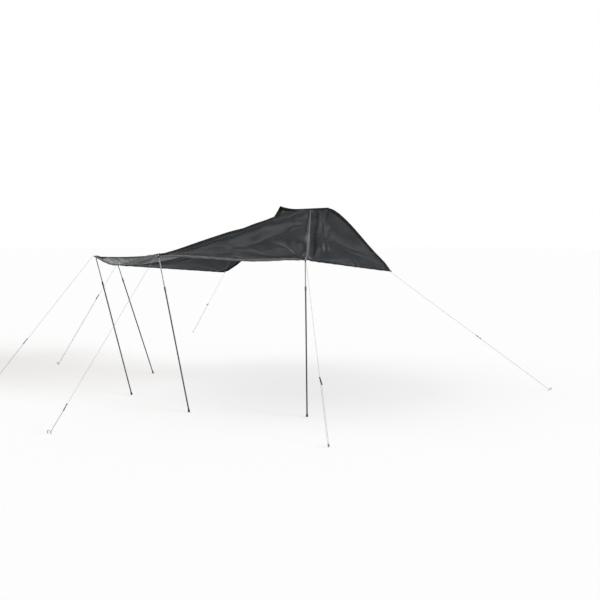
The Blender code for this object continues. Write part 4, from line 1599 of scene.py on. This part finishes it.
    def build(self) -> None:
        grid = FlyGrid(self.surface)
        mesh = grid_mesh(grid.points, grid.run)
        tree = BVHTree.FromPolygons(
            [vert.co for vert in mesh.vertices], [tuple(face.vertices) for face in mesh.polygons]
        )
        canopy = self.add("canopy_cloth", mesh, "charcoal_cloth", "charcoal_cloth", self.thickness)
        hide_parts("canopy")
        self.make_patches(grid, tree)
        self.make_hems(grid)
        self.make_seams(grid)
        self.make_bead(grid)
        LOG.info("fly: cloth with %d tapes, seams and patches", len(self.pieces))


@dataclass
class Eyelets:
    """The corners' eyelets: a rolled throat, and a domed plate on each face of the cloth."""

    layout: Layout
    throat: float = 0.0036
    barrel: float = 0.0065
    flange: float = 0.0115
    slot: float = 0.0013
    plate: float = 0.0009

    def profile(self) -> list[tuple[float, float]]:
        """Draws an eyelet's section on one side of its axis.

        Returns:
            A closed ring of (radius, height) points.
        """
        throat, flange, slot = self.throat, self.flange, self.slot
        face = slot + self.plate
        points = []
        for sign in (1, -1):
            half = [
                (self.barrel, sign * slot), (flange - 0.0002, sign * slot), (flange, sign * (slot + 0.00025)),
                (flange - 0.0006, sign * (slot + 0.0006)), (flange - 0.0022, sign * (face - 0.0001)),
                (throat + 0.0030, sign * face), (throat + 0.0017, sign * (face + 0.0001)),
                (throat + 0.0007, sign * (face - 0.0004)), (throat + 0.0001, sign * (slot * 0.55)), (throat, 0.0),
            ]
            points += half if sign > 0 else half[::-1][1:]
        return [*points, points[0]]

    def build(self) -> None:
        """Makes an eyelet for each corner."""
        for corner in CORNERS:
            mesh = turned_mesh(self.profile(), steps=56, crisp=50)
            piece = new_piece(f"eyelet_{corner.value}", mesh, "nickel", self.layout.corner_frame(corner))
            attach(piece, ROOT_BODY)
            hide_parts(f"{corner.value}_grommet")
        LOG.info("eyelets: %d", len(CORNERS))


# Poles


@dataclass
class Pole:
    """A telescopic pole with a pin on top, a twist collar at its joint and a ball foot."""

    layout: Layout
    corner: Corner
    lower_reach: float = 1.520
    pin_radius: float = 0.003
    pin_above: float = 0.030
    pin_seat: float = 0.028
    shoulder_drop: float = 0.0055
    plug_radius: float = 0.0080
    plug_head: float = 0.012
    plug_stem: float = 0.032
    upper_radius: float = 0.006
    upper_wall: float = 0.001
    upper_length: float = 0.950
    lower_radius: float = 0.008
    lower_wall: float = 0.0008
    collar_radius: float = 0.0115
    collar_length: float = 0.046
    collar_cap: float = 0.014
    flutes: int = 16
    flute_depth: float = 0.00045
    foot_radius: float = 0.0135
    foot_sole: float = 0.014
    foot_cup: float = 0.024
    fit: float = 0.0003

    def part(self, name: str, mesh: bpy.types.Mesh, finish: str, section: str, node: str = "") -> None:
        """Adds one piece of the pole.

        Args:
            name: What the piece is.
            mesh: Its mesh, along the pole.
            finish: Its finish.
            section: The body it rides on, without the corner's name.
            node: The solid it stands for, or nothing where it is extra.
        """
        corner = self.corner.value
        piece = new_piece(f"{name}_{corner}", mesh, finish, self.layout.pole_frame(self.corner))
        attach(piece, f"{corner}_{section}")
        if node:
            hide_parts(f"{corner}_{node}")

    def pin_mesh(self) -> bpy.types.Mesh:
        """Makes the steel pin: a rounded tip and a shallow ring near it.

        Returns:
            The mesh.
        """
        radius = self.pin_radius
        top = self.pin_above
        tip = [(radius * math.sin(a), top - radius * 0.8 * (1 - math.cos(a))) for a in np.linspace(0, math.pi / 2, 7)]
        groove = [(radius, top - 0.008), (radius - 0.0004, top - 0.0085), (radius - 0.0004, top - 0.0095),
                  (radius, top - 0.010)]
        seat = -self.shoulder_drop - self.pin_seat
        return turned_mesh([*tip, *groove, (radius, seat), (0, seat)], steps=32)

    def plug_mesh(self) -> bpy.types.Mesh:
        """Makes the plug: a domed shoulder, a ring groove, and a stem down the tube.

        Returns:
            The mesh.
        """
        top = -self.shoulder_drop
        under = top - self.plug_head
        hole = self.pin_radius + self.fit
        stem = self.upper_radius - self.upper_wall - self.fit
        floor = top - self.pin_seat - self.fit
        full = self.plug_radius
        dome = [
            (0.0052 + 0.0028 * math.sin(a), top - 0.0030 * (1 - math.cos(a))) for a in np.linspace(0, math.pi / 2, 6)
        ]
        ring = [(full, top - 0.0065), (0.0076, top - 0.0069), (0.0076, top - 0.0077), (full, top - 0.0081)]
        outer = [(hole, top), *dome, *ring, (full, under + 0.0006), (0.0075, under), (stem, under),
                 (stem, under - self.plug_stem), (0, under - self.plug_stem)]
        return turned_mesh([(0, floor), (hole, floor), *outer], steps=40)

    def sleeve_mesh(self, outer: float, wall: float, top: float, bottom: float) -> bpy.types.Mesh:
        """Makes a tube with broken edges at its ends.

        Args:
            outer: Its outer radius.
            wall: Its wall.
            top: Height of its upper end.
            bottom: Height of its lower end.

        Returns:
            The mesh.
        """
        bore = outer - wall
        ease = wall * 0.3
        profile = [(bore, top), (outer - ease, top), (outer, top - ease), (outer, bottom + ease),
                   (outer - ease, bottom), (bore, bottom), (bore, top)]
        return turned_mesh(profile, steps=48, crisp=30)

    def collar_mesh(self, top: float) -> bpy.types.Mesh:
        """Makes the twist collar: a fluted grip between two plain rings, bored in two steps.

        Args:
            top: Height of its upper end.

        Returns:
            The mesh.
        """
        narrow = self.upper_radius + self.fit
        wide = self.lower_radius + self.fit
        full = self.collar_radius
        bottom = top - self.collar_length
        outer = [
            (full * 0.80, top), (full * 0.845, top - 0.0008), (full * 0.86, top - 0.0060), (full * 0.84, top - 0.0068),
            (full * 0.86, top - 0.0078), (full * 0.90, top - 0.0120), (full * 0.97, top - 0.0240),
            (full * 0.99, top - 0.0350), (full * 0.99, bottom + 0.0066), (full * 0.965, bottom + 0.0058),
            (full * 0.99, bottom + 0.0050), (full, bottom + 0.0040), (full, bottom + 0.0010),
            (full - 0.0008, bottom),
        ]
        step = top - self.collar_cap
        bore = [(wide, bottom), (wide, step), (narrow, step), (narrow, top), outer[0]]
        mesh = turned_mesh([*outer, *bore], steps=96, crisp=50)
        for vert in mesh.vertices:
            radius = math.hypot(vert.co.x, vert.co.y)
            if bottom + 0.007 < vert.co.z < top - 0.0085 and radius > wide + 0.0004:
                angle = math.atan2(vert.co.y, vert.co.x)
                flute = self.flute_depth * (math.cos(self.flutes * angle) - 1)
                vert.co.x *= (radius + flute) / radius
                vert.co.y *= (radius + flute) / radius
        return mesh

    def foot_mesh(self, length: float) -> bpy.types.Mesh:
        """Makes the ball foot: a cup round the tube with two ribs, a ball, and a ringed sole.

        Args:
            length: From the grommet to the sole.

        Returns:
            The mesh.
        """
        sole = -length
        floor = sole + self.foot_sole
        lip = floor + self.foot_cup
        cup = self.lower_radius + self.fit
        middle = sole + self.foot_radius
        radius = self.foot_radius
        ball = [
            (radius * math.cos(a), middle + radius * math.sin(a)) for a in np.radians(np.linspace(44, -48, 14))
        ]
        neck = [(0.0102, lip), (0.0105, lip - 0.0006), (0.0105, lip - 0.0030), (0.0101, lip - 0.0036),
                (0.0101, lip - 0.0050), (0.0105, lip - 0.0056), (0.0105, lip - 0.0086), (0.0101, lip - 0.0092)]
        rings = [(0.0080, sole), (0.0066, sole), (0.0062, sole + 0.0006), (0.0054, sole + 0.0006), (0.0050, sole),
                 (0.0034, sole), (0.0030, sole + 0.0006), (0.0, sole + 0.0006)]
        return turned_mesh([(0, floor), (cup, floor), (cup, lip), *neck, *ball, *rings], steps=48, crisp=42)

    def build(self) -> None:
        """Makes the pole's pieces."""
        length = (self.layout.grommet(self.corner) - self.layout.foot(self.corner)).length
        shown = length - self.lower_reach
        top = -self.shoulder_drop - self.plug_head - self.fit
        self.part("pin", self.pin_mesh(), "bright_steel", "upper_section", "spigot")
        self.part("plug", self.plug_mesh(), "black_plastic", "upper_section", "top_plug")
        upper = self.sleeve_mesh(self.upper_radius, self.upper_wall, top, top - self.upper_length)
        self.part("upper_pole", upper, "satin_aluminium", "upper_section", "upper_tube")
        self.part("twist_grip", self.collar_mesh(-shown), "grip_plastic", "twist_collar", "collar")
        low = -length + self.foot_sole + self.fit
        lower = self.sleeve_mesh(self.lower_radius, self.lower_wall, -shown - self.collar_cap - self.fit, low)
        self.part("lower_pole", lower, "grey_anodised", "lower_section", "lower_tube")
        self.part("ball_foot", self.foot_mesh(length), "black_rubber", "lower_section", "foot")
        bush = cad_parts[f"{self.corner.value}_guide_bush"]
        bush.data.materials.clear()
        bush.data.materials.append(bpy.data.materials["black_plastic" + FINISH_END])
        LOG.info("pole %s: %.3f m long", self.corner.value, length)


# Guy lines


@dataclass
class Guy:
    """A guy line with its knots, its runner and its peg."""

    layout: Layout
    corner: Corner
    runner_at: float
    radius: float = 0.0015
    fit: float = 0.0003
    cord_sides: int = 12
    knot_sides: int = 10
    wrap_radius: float = 0.0012
    wrap_steps: int = 20
    tip_knot: float = 0.00155
    end_knot: float = 0.0011
    eye_clearance: float = 0.0016
    pin_radius: float = 0.003
    throat: float = 0.0036
    plate_top: float = 0.0022
    approach: float = 0.030
    runner_length: float = 0.088
    runner_width: float = 0.013
    runner_thick: float = 0.004
    eye_span: float = 0.060
    eye_length: float = 0.016
    tail_slack: float = 0.021
    eye_radius: float = 0.0044
    bar_gap: float = 0.0009
    tail_past_eye: float = 0.008
    peg_radius: float = 0.0035
    peg_shank: float = 0.240
    peg_neck: float = 0.020
    peg_hook: float = 0.012
    peg_tail: float = 0.014
    peg_point: float = 0.022
    peg_sides: int = 20
    hook_steps: int = 20
    extras: list[bpy.types.Object] = field(default_factory=list)

    def seat(self) -> float:
        """Returns the height of a cord that lies on the eyelet's plate."""
        return self.plate_top + self.radius + self.fit

    def runner_height(self) -> float:
        """Returns the runner's place down the main strand, as a negative height."""
        return -self.layout.line_length(self.corner) * self.runner_at

    def tail_height(self) -> float:
        """Returns where the return strand ends: past the lower eye, and with room for the runner to slide up."""
        return self.runner_height() - self.eye_span / 2 + self.eye_length / 2 + self.tail_past_eye + self.tail_slack

    def corner_route(self) -> tuple[list[Vector], list[int]]:
        """Gives the cord's route at the corner: an eye round the pin, or up through the eyelet.

        Returns:
            The points, and how many points each stretch gets.
        """
        ring = self.pin_radius + self.radius + self.eye_clearance
        place = self.layout.corner_frame(self.corner)
        if self.corner not in POLED:
            aside = self.throat - self.radius - self.fit
            local = ((aside, 0, 0.010), (aside, 0, 0), (aside + 0.0008, 0, -0.006), (aside + 0.0045, 0, -0.0105))
            return [place @ Vector(point) for point in local], [2, 4, 6, 6]
        seat = self.seat()
        knot = 2 * ring
        pinch = self.radius + 2 * self.fit
        local = [(knot, -pinch, seat), (ring * 1.1, -ring * 0.72, seat)]
        for degrees in (-70, -125, 180, 125, 70):
            angle = math.radians(degrees)
            local.append((ring * math.cos(angle), ring * math.sin(angle), seat))
        local += [(ring * 1.1, ring * 0.72, seat), (knot, pinch, seat), (self.layout.corner_margin - 0.003, 0, seat)]
        return [place @ Vector(point) for point in local], [4, 4, 4, 4, 4, 4, 4, 4, 5, 5]

    def route(self) -> list[Vector]:
        """Gives the whole cord: from the corner down the main strand, round the peg and back to the runner.

        Returns:
            The points of its centre line.
        """
        route, bends = self.corner_route()
        strand = self.layout.line_frame(self.corner)
        down = self.layout.line_length(self.corner)
        half = self.layout.strand_gap / 2
        lean = strand.to_3x3().col[2].angle(self.layout.peg_axis(self.corner))
        reach = (self.peg_radius + self.radius + self.fit) / math.sin(lean)
        turn = max(reach - half, -half)
        local = [(0, 0, 0), (0, 0, -down / 2), (0, 0, -down + self.approach), (0, 0, -down - turn)]
        for degrees in (45, 90, 135):
            angle = math.radians(degrees)
            local.append((-half + half * math.cos(angle), 0, -down - turn - half * math.sin(angle)))
        gap = self.layout.strand_gap
        local += [(-gap, 0, -down - turn), (-gap, 0, -down + self.approach), (-gap, 0, self.tail_height())]
        route += [strand @ Vector(point) for point in local]
        bends += [2, 2, 2, 5, 5, 5, 5, 2, 2]
        return smooth_route(route, bends)

    def wrap(self, centre: tuple[float, float, float], size: tuple[float, float], length: float, turns: float,
             low: float) -> list[Vector]:
        """Gives turns of cord wrapped round two strands.

        Args:
            centre: The middle of the wraps' start, along the corner's X.
            size: Half width and half height of the turns.
            length: How far the wraps run along X.
            turns: How many there are.
            low: The lowest that the wraps go.

        Returns:
            Points along the wraps.
        """
        points = []
        steps = int(turns * self.wrap_steps)
        for step in range(steps + 1):
            angle = 2 * math.pi * turns * step / steps + math.pi / 2
            x = centre[0] + length * step / steps
            z = centre[2] + size[1] * math.sin(angle)
            points.append(Vector((x, centre[1] + size[0] * math.cos(angle), max(z, low))))
        return points

    def add(self, name: str, mesh: bpy.types.Mesh, finish: str, matrix: Matrix | None, body: str) -> bpy.types.Object:
        """Adds a piece that goes with the cord.

        Args:
            name: What it is.
            mesh: Its mesh.
            finish: Its finish and material slot.
            matrix: Its place.
            body: The body it rides on.

        Returns:
            The piece.
        """
        piece = new_piece(f"{name}_{self.corner.value}", mesh, finish, matrix)
        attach(piece, body)
        self.extras.append(piece)
        return piece

    def make_corner_knot(self) -> None:
        """Ties the cord at its corner: wraps at the neck of the eye, or a stopper over the eyelet."""
        place = self.layout.corner_frame(self.corner)
        if self.corner in POLED:
            neck = 2 * (self.pin_radius + self.radius + self.eye_clearance)
            seat = self.seat()
            points = self.wrap(
                centre=(neck - 0.001, 0, seat), size=(0.0042, 0.0029), length=0.0100, turns=3.4, low=0.0026
            )
            end = points[-1]
            tail = [end + Vector((0.0015, -0.002, -0.0008)), end + Vector((0.0030, -0.008, -0.0022)),
                    end + Vector((0.0020, -0.016, -0.0026))]
            path = smooth_route([*points, *tail], [1] * (len(points) - 1) + [3, 4, 4])
            mesh = tube_mesh(path, self.wrap_radius, self.knot_sides)
            self.add("eye_knot", mesh, "pale_cord", place, ROOT_BODY)
            return
        over = place @ Matrix.Translation((0.0006, 0, self.plate_top + 0.0040))
        self.add("tip_knot", self.stopper_mesh(self.tip_knot), "pale_cord", over, ROOT_BODY)

    def stopper_mesh(self, size: float) -> bpy.types.Mesh:
        """Makes a tight overhand stopper knot.

        Args:
            size: Its scale: the knot is about six times as wide.

        Returns:
            The mesh.
        """
        points = []
        steps, lobe, rise = 72, 1.9, 1.25
        for step in range(steps + 1):
            angle = 2 * math.pi * step / steps
            x = size * (math.sin(angle) + lobe * math.sin(2 * angle))
            y = size * (math.cos(angle) - lobe * math.cos(2 * angle))
            points.append(Vector((x, y, -size * rise * math.sin(3 * angle))))
        return tube_mesh(points, self.radius * 0.95, self.knot_sides)

    def make_end_knot(self) -> None:
        """Ties a stopper at the end of the return strand."""
        strand = self.layout.line_frame(self.corner)
        place = Vector((-self.layout.strand_gap, -0.0034, self.tail_height() + 0.0005))
        end = strand @ Matrix.Translation(place)
        self.add("end_knot", self.stopper_mesh(self.end_knot), "pale_cord", end, ROOT_BODY)

    def runner_mesh(self) -> bpy.types.Mesh:
        """Makes the runner: a round-ended bar with soft edges, and a lipped eye at each end.

        Returns:
            The mesh, with the main strand on Z.
        """
        gap = self.layout.strand_gap
        tilt = math.atan2(gap, self.eye_span)
        bm = bmesh.new()
        bmesh.ops.create_cube(bm, size=1)
        bmesh.ops.scale(bm, verts=bm.verts, vec=(self.runner_width, self.runner_thick, self.runner_length))
        upright = [e for e in bm.edges if abs(e.verts[0].co.y - e.verts[1].co.y) > self.runner_thick / 2]
        bmesh.ops.bevel(bm, geom=upright, offset=0.0058, segments=7, affect="EDGES", profile=0.5)
        rims = [e for e in bm.edges if abs(e.verts[0].co.y - e.verts[1].co.y) < WELD]
        bmesh.ops.bevel(bm, geom=rims, offset=0.0009, segments=3, affect="EDGES", profile=0.6)
        centre = Vector((-gap / 2, self.radius + self.bar_gap + self.runner_thick / 2, 0))
        turn = Matrix.Translation(centre) @ Matrix.Rotation(tilt, 4, "Y")
        bmesh.ops.transform(bm, matrix=turn, verts=bm.verts)
        bar = bpy.data.meshes.new("bar")
        bm.to_mesh(bar)
        bm.free()
        bar.shade_smooth()
        bar.set_sharp_from_angle(angle=math.radians(35))
        half = self.eye_length / 2
        bore = self.radius + self.fit
        lip = 0.0007
        profile = [(bore, half - lip), (bore + lip * 0.6, half), (self.eye_radius - lip, half),
                   (self.eye_radius, half - lip), (self.eye_radius, -half + lip), (self.eye_radius - lip, -half),
                   (bore + lip * 0.6, -half), (bore, -half + lip), (bore, half - lip)]
        parts = [bar]
        for x, z in ((0, self.eye_span / 2), (-gap, -self.eye_span / 2)):
            eye = turned_mesh(profile, steps=28, crisp=50)
            eye.transform(Matrix.Translation((x, 0, z)))
            parts.append(eye)
        return joined_mesh(parts)

    def make_runner(self) -> None:
        """Puts the runner on the line."""
        seat = self.layout.line_frame(self.corner) @ Matrix.Translation((0, 0, self.runner_height()))
        runner = self.add("line_runner", self.runner_mesh(), "black_plastic", seat, f"{self.corner.value}_tensioner")
        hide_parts(f"{self.corner.value}_runner")

    def make_peg(self) -> None:
        """Drives in the peg: a bent rod with a hook turned away from the fly and a tapered point."""
        axis = self.layout.peg_axis(self.corner)
        loop = self.layout.peg(self.corner)
        side = axis.cross(UP).normalized()
        outward = side.cross(axis).normalized()
        if outward.dot(loop - self.layout.grommet(self.corner)) < 0:
            outward = -outward
        top = loop - axis * self.peg_neck
        centre = top + outward * self.peg_hook
        points = [loop + axis * self.peg_shank, loop + axis * (self.peg_shank - self.peg_point * 0.4),
                  loop + axis * (self.peg_shank - self.peg_point), loop + axis * self.peg_neck, top]
        radii = [0.10, 0.66, 1.0, 1.0, 1.0]
        for step in range(1, self.hook_steps + 1):
            angle = math.pi * step / self.hook_steps
            points.append(centre - (outward * math.cos(angle) + axis * math.sin(angle)) * self.peg_hook)
            radii.append(1.0)
        end = points[-1]
        points += [end + axis * (self.peg_tail - 0.0012), end + axis * self.peg_tail]
        radii += [1.0, 0.66]
        mesh = tube_mesh(points, self.peg_radius, self.peg_sides, radii)
        peg = new_piece(f"ground_peg_{self.corner.value}", mesh, "galvanised_steel")
        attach(peg, ROOT_BODY)
        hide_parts(f"{self.corner.value}_peg")

    def build(self) -> None:
        path = self.route()
        cord = new_piece(f"cord_{self.corner.value}", tube_mesh(path, self.radius, self.cord_sides), "pale_cord")
        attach(cord, ROOT_BODY)
        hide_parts(f"{self.corner.value}_guy_line")
        self.make_corner_knot()
        self.make_end_knot()
        self.make_runner()
        self.make_peg()


RUNNERS_AT = {
    Corner.OUTER_FRONT: 0.865,
    Corner.OUTER_REAR: 0.600,
    Corner.SIDE_FRONT: 0.675,
    Corner.SIDE_REAR: 0.305,
    Corner.WING_FRONT: 0.550,
    Corner.WING_REAR: 0.475,
}


# Studio


@dataclass
class Studio:
    """The camera, the pale floor and the soft light. SKY_STOPS are heights up the sky and the tones there."""

    SKY_STOPS: ClassVar[tuple[tuple[float, float], ...]] = (
        (0.12, 1.20), (0.25, 1.00), (0.35, 0.04), (0.50, 0.00), (0.56, 0.50), (0.62, 0.50), (0.70, 0.02), (0.84, 0.25),
    )
    SKY_TINT: ClassVar[tuple[float, float, float]] = (0.96, 0.98, 1.04)
    SKY_FOOT: ClassVar[Colour] = (1.1, 1.1, 1.1, 1)
    SKY_TOP: ClassVar[Colour] = (0.80, 0.82, 0.85, 1)

    layout: Layout
    lens: float = 39.54
    camera_height: float = 2.034
    camera_plan: tuple[float, float] = (7.049, -7.081)
    camera_turn: float = math.radians(45.168)
    camera_dip: float = 0.0930
    floor_size: float = 120.0
    floor_bounce: float = 0.34
    floor_tone: float = 0.42
    floor_glow: Colour = (0.566, 0.545, 0.523, 1)
    key: float = 4.3
    fill: float = 1.0

    def make_camera(self) -> None:
        """Puts the camera where the photograph was taken from."""
        data = bpy.data.cameras.new("photo_camera")
        data.lens = self.lens
        data.sensor_width = 36.0
        data.clip_end = 300.0
        camera = bpy.data.objects.new("photo_camera", data)
        camera.location = self.layout.on_ground(*self.camera_plan, self.camera_height)
        camera.rotation_euler = (math.pi / 2 - self.camera_dip, 0.0, self.camera_turn)
        bpy.context.scene.collection.objects.link(camera)
        bpy.context.scene.camera = camera

    def make_floor(self) -> None:
        """Lays a pale floor that reads as white to the camera and keeps a soft shadow."""
        size = self.floor_size
        grid = np.array([[(-size, -size, 0), (size, -size, 0)], [(-size, size, 0), (size, size, 0)]], float)
        grid[..., 2] = -self.layout.rail_height
        material = bpy.data.materials.new("pale_floor" + FINISH_END)
        material.use_nodes = True
        tree = material.node_tree
        tree.nodes.remove(tree.nodes["Principled BSDF"])
        diffuse = tree.nodes.new("ShaderNodeBsdfDiffuse")
        glow = tree.nodes.new("ShaderNodeEmission")
        rays = tree.nodes.new("ShaderNodeLightPath")
        tone = tree.nodes.new("ShaderNodeMix")
        tone.data_type = "RGBA"
        tone.inputs[MIX_FIRST].default_value = (*[self.floor_bounce] * 3, 1)
        tone.inputs[MIX_SECOND].default_value = (*[self.floor_tone] * 3, 1)
        glow.inputs["Color"].default_value = self.floor_glow
        total = tree.nodes.new("ShaderNodeAddShader")
        tree.links.new(rays.outputs["Is Camera Ray"], tone.inputs["Factor"])
        tree.links.new(tone.outputs[MIX_COLOUR], diffuse.inputs["Color"])
        tree.links.new(rays.outputs["Is Camera Ray"], glow.inputs["Strength"])
        tree.links.new(diffuse.outputs[0], total.inputs[0])
        tree.links.new(glow.outputs[0], total.inputs[1])
        tree.links.new(total.outputs[0], tree.nodes["Material Output"].inputs["Surface"])
        floor = new_piece("floor", grid_mesh(grid), "pale_floor")
        floor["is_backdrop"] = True

    def make_world(self) -> None:
        """Makes a sky with a bright rim, a dim belt and a soft light overhead, which the camera sees as white."""
        world = bpy.data.worlds.new("studio")
        bpy.context.scene.world = world
        world.use_nodes = True
        tree = world.node_tree
        sky = tree.nodes["Background"]
        split = tree.nodes.new("ShaderNodeSeparateXYZ")
        ramp = tree.nodes.new("ShaderNodeValToRGB")
        tree.links.new(tree.nodes.new("ShaderNodeTexCoord").outputs["Generated"], split.inputs[0])
        tree.links.new(split.outputs[2], ramp.inputs["Fac"])
        tree.links.new(ramp.outputs["Color"], sky.inputs["Color"])
        first, last = ramp.color_ramp.elements
        first.color = self.SKY_FOOT
        last.color = self.SKY_TOP
        for height, tone in self.SKY_STOPS:
            ramp.color_ramp.elements.new(height).color = (*[tone * share for share in self.SKY_TINT], 1)
        white = tree.nodes.new("ShaderNodeBackground")
        white.inputs["Color"].default_value = (1, 1, 1, 1)
        rays = tree.nodes.new("ShaderNodeLightPath")
        mix = tree.nodes.new("ShaderNodeMixShader")
        tree.links.new(rays.outputs["Is Camera Ray"], mix.inputs["Fac"])
        tree.links.new(sky.outputs[0], mix.inputs[1])
        tree.links.new(white.outputs[0], mix.inputs[2])
        tree.links.new(mix.outputs[0], tree.nodes["World Output"].inputs["Surface"])

    def make_lamp(self, name: str, strength: float, towards: tuple[float, float, float], spread: float,
                  colour: tuple[float, float, float]) -> None:
        """Adds a far soft lamp.

        Args:
            name: The lamp's name.
            strength: Its strength.
            towards: The way its light goes.
            spread: Its angular size in degrees.
            colour: Its colour.
        """
        data = bpy.data.lights.new(name, "SUN")
        data.energy = strength
        data.angle = math.radians(spread)
        data.color = colour
        lamp = bpy.data.objects.new(name, data)
        lamp.rotation_mode = "QUATERNION"
        lamp.rotation_quaternion = Vector(towards).to_track_quat("-Z", "Y")
        bpy.context.scene.collection.objects.link(lamp)

    def build(self) -> None:
        """Makes the floor, the sky and the lamps."""
        self.make_floor()
        self.make_world()
        self.make_lamp("key_lamp", self.key, towards=(-0.85, -0.30, -0.36), spread=22, colour=(0.80, 0.89, 1.0))
        self.make_lamp("fill_lamp", self.fill, towards=(0.50, 0.50, -0.75), spread=45, colour=(1.0, 0.98, 0.88))
        bpy.context.scene.view_settings.view_transform = "Standard"


def main(cad_box: tuple[Vector, Vector]) -> None:
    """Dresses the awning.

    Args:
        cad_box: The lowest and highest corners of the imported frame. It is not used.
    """
    logging.basicConfig(level=logging.INFO, format="%(name)s %(message)s")
    layout = Layout()
    studio = Studio(layout)
    studio.make_camera()
    make_finishes()
    for corner, share in RUNNERS_AT.items():
        Guy(layout, corner, share).build()
    Fly(FlySurface(layout)).build()
    Eyelets(layout).build()
    for corner in POLED:
        Pole(layout, corner).build()
    studio.build()


if __name__ == "__main__":
    main(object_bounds())
